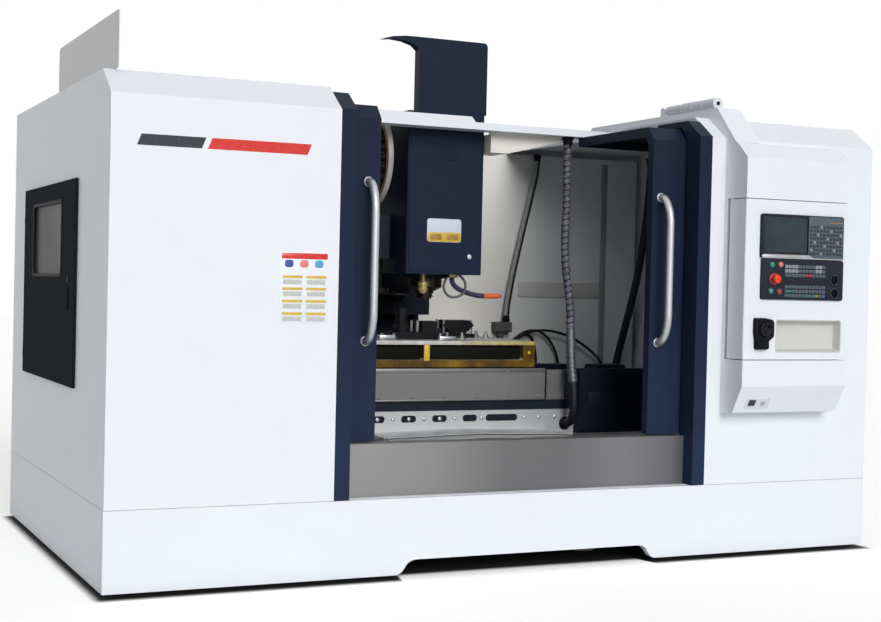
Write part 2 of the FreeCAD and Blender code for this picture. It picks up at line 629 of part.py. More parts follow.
def change_arm():
    """Double tool-change arm on its shaft: each end is a hook that opens as the arm swings in."""
    reach = -ARM_X
    groove_r, pad_r = 44.5, 68.0
    z0, z1 = 1306.5, 1315.5
    bar = prism("Z", [(-46, 0), (-34, reach - 60), (34, reach - 60), (46, 0),
                      (34, 60 - reach), (-34, 60 - reach)], (z0, z1))
    hub = faceted([(0, z0), (66, z0), (66, z1 + 25), (0, z1 + 25)], 12, (0, 0, 0))
    pads = [faceted([(0, z0), (pad_r, z0), (pad_r, z1), (0, z1)], 20, (0, side * reach, 0))
            for side in (-1, 1)]
    shaft = rod("Z", (0, 0, z1), 30, 1600 - z1)
    body = fuse([bar, hub, shaft] + pads)
    ring = rod("Z", (0, 0, z0 - 1), reach + groove_r, z1 - z0 + 2)
    ring = ring.cut(rod("Z", (0, 0, z0 - 2), reach - groove_r, z1 - z0 + 4))
    cutters = []
    for turn in (0, 180):
        sector = prism("Z", [(0, 0), (400, 0), (400, -2 * reach), (0, -2 * reach)], (z0 - 1, z1 + 1))
        hook = ring.common(sector).fuse(rod("Z", (0, -reach, z0 - 1), groove_r, z1 - z0 + 2))
        hook.rotate(V(), V(0, 0, 1), turn)
        cutters.append(hook)
    arm = cut(body, cutters)
    arm.translate(V(ARM_X, SPINDLE_Y, 0))
    return arm


# ---------------------------------------------------------------- enclosure
def skirt_front():
    """Front skirt: folded sheet with the raised cut-out for lifting forks."""
    profile = [(FRONT + RETURN, SKIRT_LOW), (FRONT, SKIRT_LOW), (FRONT, SKIRT_TOP),
               (FRONT + RETURN, SKIRT_TOP)]
    skirt = folded("X", profile, (-HALF_WIDTH, HALF_WIDTH))
    low, high = SKIRT_LOW - 1.0, 88.0
    left, right, flare = -618.0, 648.0, 72.0
    p = [V(left - flare, FRONT - 1, low), V(left - 14, FRONT - 1, high), V(right + 14, FRONT - 1, high),
         V(right + flare, FRONT - 1, low)]
    left_arc = Part.Arc(p[0], V(left - 40, FRONT - 1, low + 24), p[1]).toShape()
    right_arc = Part.Arc(p[2], V(right + 40, FRONT - 1, low + 24), p[3]).toShape()
    edges = [left_arc, Part.LineSegment(p[1], p[2]).toShape(), right_arc,
             Part.LineSegment(p[3], p[0]).toShape()]
    cutter = Part.Face(Part.Wire(edges)).extrude(V(0, RETURN + 2, 0))
    return skirt.cut(cutter)


def skirt_sides():
    """Left, right and rear skirts, folded at top and bottom."""
    inset = SHEET + 0.5
    left = folded("Y", [(-HALF_WIDTH + RETURN, SKIRT_TOP), (-HALF_WIDTH, SKIRT_TOP), (-HALF_WIDTH, SKIRT_LOW),
                        (-HALF_WIDTH + RETURN, SKIRT_LOW)][::-1], (FRONT + RETURN + 1, BACK - inset))
    rear = folded("X", [(BACK - RETURN, SKIRT_TOP), (BACK, SKIRT_TOP), (BACK, SKIRT_LOW),
                        (BACK - RETURN, SKIRT_LOW)], (-HALF_WIDTH, HALF_WIDTH))
    rear = rear.cut(box((-660, 660), (BACK - 60, BACK + 10), (SKIRT_LOW - 1, SKIRT_TOP + 1)))
    corners = [box((x - RETURN - 1, x + RETURN + 1), (BACK - RETURN - 1, BACK - SHEET),
                   (SKIRT_LOW - 1, SKIRT_TOP + 1)) for x in (-HALF_WIDTH, HALF_WIDTH)]
    rear = rear.cut(corners)
    return Part.makeCompound([left, mirrored(left)] + rear.Solids)


def front_profile():
    """Outer face of the white front panels, from the skirt seam up and back to the roof."""
    low = SKIRT_TOP + SEAM
    return [(FRONT + RETURN, low), (FRONT, low), (FRONT, CHAMFER_LOW), (FRONT + CHAMFER_RUN, ROOF),
            (FRONT + CHAMFER_RUN + 67, ROOF)]


def front_panel_left():
    """Left front panel, folded in one piece with its chamfered top."""
    return pan(front_profile(), (-HALF_WIDTH, -PORTAL_HALF))


def front_panel_right():
    """Right front panel, which also backs the operator station."""
    return pan(front_profile(), (PORTAL_HALF, HALF_WIDTH))


def side_outline(inset):
    """Side wall outline, chamfered to follow the front panel."""
    low = SKIRT_TOP + SEAM + inset
    start = FRONT + RETURN + 1 + inset
    behind = FRONT + CHAMFER_RUN + inset
    return [(start, low), (BACK - inset, low), (BACK - inset, ROOF - inset),
            (behind + 68, ROOF - inset), (behind + 68, ROOF - RETURN - inset),
            (behind + 20, ROOF - RETURN - inset - 8), (start, CHAMFER_LOW - 26 - inset)]


def side_panels():
    """Left wall with the opening of the service door, and the closed right wall."""
    skin = prism("X", side_outline(0), (-HALF_WIDTH, -HALF_WIDTH + RETURN))
    hollow = prism("X", side_outline(SHEET), (-HALF_WIDTH + SHEET, -HALF_WIDTH + RETURN + 1))
    wall = skin.cut(hollow)
    frame = box((-HALF_WIDTH, -HALF_WIDTH + RETURN), (-762 - SHEET, 547 + SHEET), (858 - SHEET, 1809 + SHEET))
    opening = box((-HALF_WIDTH - 1, -HALF_WIDTH + RETURN + 1), (-762, 547), (858, 1809))
    hinges = knuckles(SIDE_HINGE_X, SIDE_HINGE_Y, SIDE_HINGE_R, [(z + 36, z + 74) for z in SIDE_HINGE_Z])
    hinges += [box((-HALF_WIDTH - 4, -HALF_WIDTH), (SIDE_HINGE_Y, SIDE_HINGE_Y + 40), (z + 36, z + 74))
               for z in SIDE_HINGE_Z]
    left = fuse([cut(fuse([wall, frame]), [opening])] + hinges)
    cover = box((HALF_WIDTH, HALF_WIDTH + 14), (-640, 420), (900, 1770))
    outer_edges = [e for e in vertical_edges(cover, "Z") if e.CenterOfMass.x > HALF_WIDTH + 1]
    cover = cover.makeChamfer(3, outer_edges)
    return Part.makeCompound([left, fuse([mirrored(wall), cover])])


def roof_panels():
    """Left and right roof panels, flanged all round."""
    start = FRONT + CHAMFER_RUN + 69
    outer = box((-HALF_WIDTH, -PORTAL_HALF), (start, BACK), (ROOF - RETURN, ROOF))
    inner = box((-HALF_WIDTH + SHEET, -PORTAL_HALF - SHEET), (start + SHEET, BACK - SHEET),
                (ROOF - RETURN - 1, ROOF - SHEET))
    side_step = box((-HALF_WIDTH - 1, -HALF_WIDTH + RETURN + 1), (FRONT, BACK + 1),
                    (ROOF - RETURN - 1, ROOF + 1))
    left = outer.cut(inner).cut(side_step)
    return Part.makeCompound([left, mirrored(left)])


def rear_panels():
    """Two rear panels beside the column."""
    low, high = SKIRT_TOP + SEAM, ROOF - RETURN - 1
    x0, x1 = -HALF_WIDTH + RETURN, -COLUMN_HALF - 10
    outer = box((x0, x1), (BACK - RETURN, BACK), (low, high))
    inner = box((x0 + SHEET, x1 - SHEET), (BACK - RETURN - 1, BACK - SHEET), (low + SHEET, high - SHEET))
    left = outer.cut(inner)
    bed_notch = box((-BED_HALF - 10, 0), (BACK - RETURN - 1, BACK + 1), (SKIRT_TOP, BED_TOP + 10))
    carrier_notch = box((-520, -COLUMN_HALF + 20), (BACK - RETURN - 1, BACK + 1), (1930, 2140))
    left = left.cut(bed_notch)
    return Part.makeCompound([left.cut(carrier_notch), mirrored(left)])


def portal_frame():
    """Navy portal: two channel posts, each folded over at the top into a roof arm."""
    outer = [(FRONT, SKIRT_TOP + SEAM), (FRONT, 2151), (FRONT + POST_DEPTH, PORTAL_TOP),
             (FRONT + PORTAL_ARM - 12, PORTAL_TOP), (FRONT + PORTAL_ARM, PORTAL_TOP - 12),
             (FRONT + PORTAL_ARM, PORTAL_TOP - ARM_THICK), (FRONT + 168, PORTAL_TOP - ARM_THICK),
             (FRONT + POST_DEPTH, 2136), (FRONT + POST_DEPTH, SKIRT_TOP + SEAM)]
    low = SKIRT_TOP + SEAM
    arm_end, under_arm = FRONT + PORTAL_ARM - SHEET, PORTAL_TOP - ARM_THICK - 1
    inner = [(FRONT + SHEET, low - 1), (FRONT + SHEET, 2149), (FRONT + POST_DEPTH + 2, PORTAL_TOP - SHEET),
             (arm_end, PORTAL_TOP - SHEET), (arm_end, under_arm), (FRONT + 169, under_arm),
             (FRONT + POST_DEPTH + 1, 2135), (FRONT + POST_DEPTH + 1, low - 1)]
    x0, x1 = -PORTAL_HALF + 0.5, -PORTAL_HALF + POST_WIDTH
    left = prism("X", outer, (x0, x1)).cut(prism("X", inner, (x0 + SHEET, x1 - SHEET)))
    return Part.makeCompound([left, mirrored(left)])


def header_beam():
    """White header: a channel between the roofs with a raised cap on its left part."""
    reach = PORTAL_HALF - 1
    beam = box((-reach, reach), (BEAM_FRONT, BEAM_FRONT + BEAM_DEPTH), (BEAM_LOW, BEAM_TOP))
    hollow = box((-reach + SHEET, reach - SHEET), (BEAM_FRONT + SHEET, BEAM_FRONT + BEAM_DEPTH + 1),
                 (BEAM_LOW + SHEET, BEAM_TOP - SHEET))
    cap = prism("Y", [(-reach, BEAM_TOP), (95, BEAM_TOP), (70, CAP_TOP), (-reach, CAP_TOP)],
                (BEAM_FRONT, BEAM_FRONT + BEAM_DEPTH))
    return fuse([beam.cut(hollow), cap])


def sill_apron():
    """Stainless apron below the doors, folded into the door sill."""
    profile = [(APRON_FRONT + 30, SKIRT_TOP + SEAM), (APRON_FRONT, SKIRT_TOP + SEAM), (APRON_FRONT, APRON_TOP),
               (FRONT + 185, APRON_TOP), (FRONT + 185, APRON_TOP - 9)]
    reach = PORTAL_HALF - POST_WIDTH - 0.5
    return folded("X", profile, (-reach, reach), 3.0)


def chip_pan():
    """Stainless pan round the bed, stepped behind the portal posts, with the fixed cover section."""
    reach, back, behind_posts = HALF_WIDTH - SHEET - RETURN, 850.0, FRONT + POST_DEPTH + 4
    between_posts = PORTAL_HALF - POST_WIDTH - 5
    outline = [(-reach, behind_posts), (-between_posts, behind_posts), (-between_posts, PAN_FRONT),
               (between_posts, PAN_FRONT), (between_posts, behind_posts), (reach, behind_posts),
               (reach, back), (-reach, back)]
    block = prism("Z", outline, (PAN_FLOOR, PAN_FLOOR + PAN_RIM))
    corners = [V(x, y, PAN_FLOOR + 3) for x, y in outline]
    inside = Part.Face(Part.makePolygon(corners + corners[:1])).makeOffset2D(-3, join=2)
    tray = block.cut(inside.extrude(V(0, 0, PAN_RIM)))
    bed_gap = box((-BED_HALF, BED_HALF), (BED_FRONT, back + 1), (PAN_FLOOR - 1, PAN_FLOOR + PAN_RIM + 1))
    return fuse([tray.cut(bed_gap), cover_section(0)])


def splash_walls():
    """Rear splash walls beside the column, each with a standing seam."""
    top = ROOF - RETURN - 3
    left = box((-HALF_WIDTH + RETURN + 5, -COLUMN_HALF - 1), (856, 860), (PAN_FLOOR + 92, top))
    notch = box((-520, -COLUMN_HALF + 1), (850, 870), (1930, 2140))
    right_inner = box((COLUMN_HALF + 1, 1750), (856, 860), (PAN_FLOOR + 92, top))
    right_outer = box((1752, HALF_WIDTH - RETURN - 5), (856, 860), (PAN_FLOOR + 92, top))
    seam = box((1738, 1750), (846, 856), (PAN_FLOOR + 92, top))
    return Part.makeCompound([left.cut(notch), fuse([right_inner, seam]), right_outer])


def work_lamp():
    """Lamp housing under the header: square end on the left, tapering away to the right."""
    front, back = BEAM_FRONT + 95.0, BEAM_FRONT + 285.0
    body = prism("Y", [(236, 2192), (236, 2092), (345, 2092), (700, 2182), (700, 2192)], (front, back))
    lip = box((236, 700), (front, BEAM_FRONT + BEAM_DEPTH), (2192, BEAM_LOW))
    return fuse([body, lip])


def roof_duct():
    """Duct from the roof down into the operator hood, with the lamp's hinge ears."""
    x0, x1 = CONSOLE_LEFT, CONSOLE_LEFT + 146
    outer = [(FRONT - 85, 2122), (FRONT + 89, 2312), (FRONT + 1325, 2312), (FRONT + 1355, 2290),
             (FRONT + 1355, ROOF), (FRONT + CHAMFER_RUN, ROOF), (FRONT, CHAMFER_LOW), (FRONT, 2126)]
    inner = [(FRONT - 72, 2130), (FRONT + 91, 2308), (FRONT + 1324, 2308), (FRONT + 1351, 2288),
             (FRONT + 1351, ROOF + SHEET), (FRONT + CHAMFER_RUN - 1, ROOF + SHEET),
             (FRONT - 4, CHAMFER_LOW + 2), (FRONT - 4, 2130)]
    shell = prism("X", outer, (x0, x1)).cut(prism("X", inner, (x0 + SHEET, x1 - SHEET)))
    ears = []
    for x in (LAMP_X - 26, LAMP_X + 16):
        ear = box((x, x + 10), (LAMP_HINGE_Y - 20, LAMP_HINGE_Y + 20), (2310, LAMP_Z + 20))
        ears.append(ear.makeChamfer(12, [e for e in vertical_edges(ear, "X") if e.CenterOfMass.z > LAMP_Z]))
    pin = rod("X", (LAMP_X - 20, LAMP_HINGE_Y, LAMP_Z), 5, 40)
    rest = box((LAMP_X - 20, LAMP_X + 20), (FRONT + 230, FRONT + 260), (2310, LAMP_Z - LAMP_R - 0.3))
    return fuse([shell, pin, rest] + ears)


def signal_lamp():
    """Signal lamp: lens tube and its base on a hinge knuckle, folded flat."""
    length = 446.0
    profile = [(0, 0), (LAMP_R, 0), (LAMP_R, 304), (LAMP_R - 3, 308), (LAMP_R - 3, length), (0, length)]
    tower = faceted(profile, 16, (LAMP_X, FRONT + 175, LAMP_Z), "Y")
    knuckle = rod("X", (LAMP_X - 15, LAMP_HINGE_Y, LAMP_Z), 14, 30)
    neck = box((LAMP_X - 12, LAMP_X + 12), (FRONT + 600, LAMP_HINGE_Y), (LAMP_Z - 9, LAMP_Z + 9))
    pin_hole = rod("X", (LAMP_X - 20, LAMP_HINGE_Y, LAMP_Z), 5 + RUNNING_GAP, 40)
    return fuse([tower, knuckle, neck]).cut(pin_hole)


def roof_guard():
    """Thin guard plate standing on the left roof edge, with rounded top corners."""
    x, start, end, top = -2000.0, FRONT + 100, FRONT + 1410, 2515
    plate = box((x, x + 3), (start, end), (ROOF, top))
    plate = plate.makeFillet(30, [e for e in vertical_edges(plate, "X") if e.CenterOfMass.z > 2500])
    foot = box((x, x + 45), (FRONT + CHAMFER_RUN + 80, end), (ROOF, ROOF + 3))
    front_gap = box((x - 1, x + 4), (start - 10, FRONT + CHAMFER_RUN), (ROOF - 1, ROOF + 0.5))
    return fuse([plate, foot]).cut(front_gap)


# ---------------------------------------------------------------- doors
def door_profile():
    """Outer face of a sliding door: front, folded top and its piece of roof."""
    return [(DOOR_FRONT, DOOR_LOW), (DOOR_FRONT, DOOR_FOLD), (DOOR_FRONT + DOOR_FOLD_RUN, DOOR_TOP),
            (DOOR_ROOF_END, DOOR_TOP)]


def door_panel(edge, side):
    """A sliding door with a window opening; side is -1 for the left door and 1 for the right."""
    span = sorted((edge, edge + side * DOOR_WIDTH))
    body = pan(door_profile(), span, DOOR_THICK)
    inner_folds = [e for e in vertical_edges(body, "X")
                   if e.CenterOfMass.z > 2060 and abs(e.Length - SHEET) < 0.01
                   and DOOR_FRONT + 40 < e.CenterOfMass.y < DOOR_ROOF_END - 100]
    body = body.makeFillet(48, inner_folds)
    low_rail = box(span, (DOOR_FRONT, DOOR_FRONT + DOOR_THICK), (DOOR_LOW, DOOR_LOW + SHEET))
    back_rail = box(span, (DOOR_ROOF_END - SHEET, DOOR_ROOF_END), (DOOR_TOP - DOOR_THICK, DOOR_TOP))
    window = sorted((edge + side * 330, edge + side * 850))
    frame = rounded_plate("Y", (window[0] - 12, window[1] + 12), (1138, 1962),
                          (DOOR_FRONT, DOOR_FRONT + 22), 42)
    hole = rounded_plate("Y", window, (1150, 1950), (DOOR_FRONT - 1, DOOR_FRONT + 30), 30)
    return cut(fuse([body, low_rail, back_rail, frame]), [hole])


def door_window(edge, side):
    """Laminated pane seated in the door's window frame."""
    window = sorted((edge + side * 330, edge + side * 850))
    return bevelled_plate("Y", (window[0] - 10, window[1] + 10), (1140, 1960),
                          (DOOR_FRONT + 22, DOOR_FRONT + 34), 24)


def door_handle(x):
    """Bow handle of bent tube, standing off the door with long curved ends."""
    low, high, bow, radius = 1096.0, 1836.0, DOOR_FRONT - 95.0, 19.0
    elbow = DOOR_FRONT - 48
    route = [(x, DOOR_FRONT, low), (x, elbow, low), (x, bow, low + 105), (x, bow, high - 105),
             (x, elbow, high), (x, DOOR_FRONT, high)]
    return tube(route, radius, 8)


def side_door_panel():
    """Service door in the left wall: folded leaf with window opening, pull recess and hinge leaves."""
    x0, x1 = -HALF_WIDTH - 14, -HALF_WIDTH - 2
    leaf = box((x0, x1), (-770, 555), (850, 1817))
    leaf = leaf.makeChamfer(3, [e for e in vertical_edges(leaf, "Z") if e.CenterOfMass.x < x0 + 1])
    inner = box((x0 + 3, x1 + 1), (-764, 549), (856, 1811))
    window = rounded_plate("X", (-450, 272), (1376, 1718), (x0 - 1, x1 + 1), 40)
    surround = bevelled_plate("X", (-465, 287), (1361, 1733), (x0, x1), 24)
    pull_tray = box((x0, x1), (-660, -610), (1200, 1316))
    pull_hole = box((x0 - 1, x1 - 3), (-655, -615), (1206, 1310))
    spans = [(z, z + 35.5) for z in SIDE_HINGE_Z]
    hinges = knuckles(SIDE_HINGE_X, SIDE_HINGE_Y, SIDE_HINGE_R, spans)
    hinges += [box((SIDE_HINGE_X - 3, SIDE_HINGE_X + 3), (548, SIDE_HINGE_Y), span) for span in spans]
    return cut(fuse([leaf.cut(inner), surround, pull_tray] + hinges), [window, pull_hole])


def side_door_window():
    """Pane of the service door."""
    return bevelled_plate("X", (-462, 284), (1364, 1730), (-HALF_WIDTH - 2, -HALF_WIDTH + 6), 24)


# ---------------------------------------------------------------- operator station
def console_frame():
    """Fixed part of the operator station: hood on top, back plate, slanted shelf below."""
    x0, x1 = CONSOLE_LEFT, CONSOLE_RIGHT
    box_top, box_low = BOX_TOP + SHEET, BOX_LOW - SHEET
    hood = [(CONSOLE_FRONT, box_top), (CONSOLE_FRONT, 2040), (FRONT - 95, 2120), (FRONT, 2126),
            (FRONT, box_top)]
    hood_in = [(CONSOLE_FRONT + SHEET, box_top + SHEET), (CONSOLE_FRONT + SHEET, 2038), (FRONT - 93, 2115),
               (FRONT + 1, 2121), (FRONT + 1, box_top + SHEET)]
    shelf = [(CONSOLE_FRONT, box_low), (CONSOLE_FRONT, 890), (FRONT - 108, 754), (FRONT, 737),
             (FRONT, box_low)]
    shelf_in = [(CONSOLE_FRONT + SHEET, box_low - SHEET), (CONSOLE_FRONT + SHEET, 891), (FRONT - 105, 758),
                (FRONT + 1, 741), (FRONT + 1, box_low - SHEET)]
    shells = [prism("X", outer, (x0, x1)).cut(prism("X", inner, (x0 + SHEET, x1 - SHEET)))
              for outer, inner in ((hood, hood_in), (shelf, shelf_in))]
    back_plate = box((x0, x1), (FRONT - 24, FRONT), (box_low, box_top))
    pins = [rod("Z", (HINGE_X, HINGE_Y, z), 8, 7) for z in (box_low, BOX_TOP - 3)]
    return fuse(shells + [back_plate] + pins)


def console_box():
    """Swivelling operator box: sheet shell with a recessed tray and the pendant's pocket."""
    outer = box((CONSOLE_LEFT, CONSOLE_RIGHT), (CONSOLE_FRONT, BOX_BACK), (BOX_LOW, BOX_TOP))
    outer = outer.makeChamfer(4, vertical_edges(outer))
    inner = box((CONSOLE_LEFT + 3, CONSOLE_RIGHT - 3), (CONSOLE_FRONT + 3, BOX_BACK - 3),
                (BOX_LOW + 3, BOX_TOP - 3))
    tray_outer = box((TRAY_X[0] - 3, TRAY_X[1] + 3), (CONSOLE_FRONT + 1, CONSOLE_FRONT + 63),
                     (TRAY_Z[0] - 3, TRAY_Z[1] + 3))
    tray_inner = box(TRAY_X, (CONSOLE_FRONT - 1, CONSOLE_FRONT + 60), TRAY_Z)
    hinge_hole = [rod("Z", (HINGE_X, HINGE_Y, z), 8 + RUNNING_GAP, 6) for z in (BOX_LOW - 1, BOX_TOP - 5)]
    hinge_block = [box((CONSOLE_LEFT + 2, HINGE_X + 14), (HINGE_Y - 14, BOX_BACK - 2), z)
                   for z in ((BOX_LOW + 1, BOX_LOW + 20), (BOX_TOP - 20, BOX_TOP - 1))]
    shell = fuse([outer.cut(inner), tray_outer] + hinge_block)
    return cut(shell, [tray_inner] + hinge_hole)


def key_rows(x, rows):
    """Rows of keys, each row one strip that stands a little proud of its panel."""
    return [box(x, (PANEL_FACE - 2.5, PANEL_FACE + 1), (z, z + KEY_SIZE)) for z in rows]


def socket(spot, radius, face):
    """Clearance for a button's stem in a panel."""
    depth = 7
    return faceted([(0, -1), (radius, -1), (radius, depth), (0, depth)], 16, (spot[0], face, spot[1]), "Y")


def shaft_bore(spot, face):
    """Round bore for the shaft of a knob or the handwheel."""
    return rod("Y", (spot[0], face - 1, spot[1]), SHAFT_R + RUNNING_GAP, 8)


def control_panels():
    """Screen unit with keypad, machine panel with key rows, and the handwheel pendant."""
    screen = bevelled_plate("Y", (1183, 1700), (1540, 1759), (PANEL_FACE, CONSOLE_FRONT), 4)
    glass = box((1200, 1470), (PANEL_FACE - 1, PANEL_FACE + 5), (1572, 1746))
    screen = fuse([screen.cut(glass)] + key_rows((1492, 1681), [1580 + row * KEY_PITCH for row in range(5)]))
    panel = bevelled_plate("Y", (1188, 1708), (1330, 1537), (PANEL_FACE, CONSOLE_FRONT), 4)
    sockets = [socket(spot, BUTTON_R + 0.3, PANEL_FACE) for spot in PUSH_BUTTONS.values()]
    sockets.append(socket(STOP_SPOT, STOP_STEM_R + 0.3, PANEL_FACE))
    sockets += [shaft_bore(spot, PANEL_FACE) for spot in KNOBS.values()]
    panel = fuse([panel] + key_rows((1350, 1572), [1350 + row * KEY_PITCH for row in (0, 1, 3, 4)]))
    pendant = bevelled_plate("Y", (1152, 1270), (1082, 1236), (PENDANT_FACE, CONSOLE_FRONT), 12)
    grip = box((1160, 1236), (PENDANT_FACE - 12, PENDANT_FACE + 2), (1076, 1110))
    pendant = cut(fuse([pendant, grip]), [shaft_bore(DIAL_SPOT, PENDANT_FACE)])
    return Part.makeCompound([screen, cut(panel, sockets), pendant])


def front_knob(spot, profile, face, sides):
    """A knob or button from (radius, distance out of the panel) pairs."""
    profile = [(r, -out) for r, out in profile]
    return faceted(profile, sides, (spot[0], face, spot[1]), "Y")


def emergency_stop():
    """Mushroom button on its stem."""
    profile = [(0, -2), (STOP_STEM_R, -2), (STOP_STEM_R, 14), (19, 17), (22, 24), (18, 31), (8, 34), (0, 34)]
    return front_knob(STOP_SPOT, profile, PANEL_FACE, 16)


def push_button(name):
    """Round push button with a domed cap."""
    profile = [(0, -1), (BUTTON_R, -1), (BUTTON_R, 7), (BUTTON_R - 3, 9), (0, 10)]
    return front_knob(PUSH_BUTTONS[name], profile, PANEL_FACE, 16)


def knob_shaft(spot, face):
    """Round shaft from inside a panel into the knob that it carries."""
    return rod("Y", (spot[0], face - 5, spot[1]), SHAFT_R, 11)


def selector_knob(name):
    """Selector knob with a raised grip bar, on its shaft."""
    x, z = KNOBS[name]
    knob = front_knob((x, z), [(0, 0.3), (20, 0.3), (20, 5), (16, 9), (0, 9)], PANEL_FACE, 16)
    bar = box((x - 5, x + 5), (PANEL_FACE - 22, PANEL_FACE - 8), (z - 16, z + 16))
    return fuse([knob, bar, knob_shaft((x, z), PANEL_FACE)])


def handwheel():
    """Pulse handwheel of the pendant: dial with a finger knob, on its shaft."""
    dial = front_knob(DIAL_SPOT, [(0, 0.3), (36, 0.3), (38, 11), (34, 14), (0, 14)], PENDANT_FACE, 20)
    finger_spot = (DIAL_SPOT[0] + 22, DIAL_SPOT[1] + 14)
    finger = front_knob(finger_spot, [(0, 13), (7, 13), (7, 25), (0, 25)], PENDANT_FACE, 10)
    return fuse([dial, finger, knob_shaft(DIAL_SPOT, PENDANT_FACE)])


# ---------------------------------------------------------------- services
def electrical_cabinet():
    """Electrical cabinet on the rear wall, open at its door side, with feet."""
    outer = box((690, 1900), (BACK + 4, 1480), (150, 2050))
    inner = box((694, 1896), (BACK + 8, 1481), (154, 2046))
    mount_plate = box((730, 1860), (BACK + 8, BACK + 14), (200, 2000))
    feet = [box((x, x + 80), (BACK + 60, 1420), (0, 150)) for x in (740, 1760)]
    stays = [box((740, 1800), (BACK, BACK + 4), (z, z + 60)) for z in (500, 1900)]
    spans = [(z + 40, z + 80) for z in CABINET_HINGE_Z]
    hinges = knuckles(CABINET_HINGE_X, CABINET_HINGE_Y, CABINET_HINGE_R, spans)
    hinges += [box((1900, 1903), (1440, CABINET_HINGE_Y), span) for span in spans]
    return fuse([outer.cut(inner), mount_plate] + feet + stays + hinges)


def cabinet_door():
    """Cabinet door: shallow folded tray with its swing handle."""
    outer = box((692, 1898), (1481, 1505), (152, 2048))
    inner = box((696, 1894), (1480, 1502), (156, 2044))
    plate = box((730, 770), (1505, 1512), (1000, 1180))
    grip = box((738, 762), (1512, 1524), (1030, 1150))
    spans = [(z, z + 39.5) for z in CABINET_HINGE_Z]
    hinges = knuckles(CABINET_HINGE_X, CABINET_HINGE_Y, CABINET_HINGE_R, spans)
    hinges += [box((1897, 1903), (CABINET_HINGE_Y + 3, 1500), span) for span in spans]
    return fuse([outer.cut(inner), plate, grip] + hinges)


def coolant_tank():
    """Coolant tank behind the enclosure: closed sheet box with its lid flange and pump."""
    x, y = (-1900, -670), (1000, 1630)
    wall = 4
    outer = box(x, y, (40, 470))
    inner = box((x[0] + wall, x[1] - wall), (y[0] + wall, y[1] - wall), (40 + wall, 470 - wall))
    lid = box((-1560, -670), y, (470, 476))
    feet = [faceted([(0, 0), (35, 0), (35, 42), (0, 42)], 8, (fx, fy, 0))
            for fx in (-1800, -1285, -770) for fy in (1080, 1550)]
    base = box((-950, -750), (1120, 1320), (476, 500))
    profile = [(0, 0), (75, 0), (75, 180), (85, 184), (85, 310), (70, 326), (0, 326)]
    pump = faceted(profile, 16, (-850, 1220, 500))
    return fuse([outer.cut(inner), lid, base, pump] + feet)


def wall_hoses():
    """Junction box, gland box, two conduits, three cables and the hose bundle on the walls."""
    floor = PAN_FLOOR + 3
    under_roof = ROOF - RETURN - 1
    junction = box((930, 1045), (780, 856), (1072, 1136))
    gland = box((960, 1000), (782, 856), (945, 1022))
    pieces = [junction, gland]
    for x, y, radius in ((1002, 800, 13), (1034, 828, 11)):
        route = [(x, y, 1136), (x, y, 1190), (x + 14, y + 2, 1290), (x + 50, y + 6, 1470),
                 (x + 110, y + 4, 1735), (x + 172, y + 4, 1985), (x + 204, y + 4, 2140),
                 (x + 204, y + 4, under_roof)]
        pieces.append(tube(route, radius))
    for y, route in CABLE_ROUTES:
        pieces.append(tube([(x, y, z) for x, z in route + [(route[-1][0], floor)]], CABLE_R))
    pieces.append(tube([(1946, 590, under_roof), (1946, 590, 2150), (1938, 592, 2000), (1922, 604, 1756),
                        (1902, 634, 1500), (1876, 674, 1280), (1842, 716, 1060), (1812, 744, 880),
                        (1796, 754, 760), (1789, 758, 662), (1793, 755, 566), (1793, 755, floor)], 26))
    return Part.makeCompound(pieces)


def saddle_hose():
    """Hose bundle that hangs from the header to the saddle's front."""
    return tube(BUNDLE_ROUTE, BUNDLE_R)


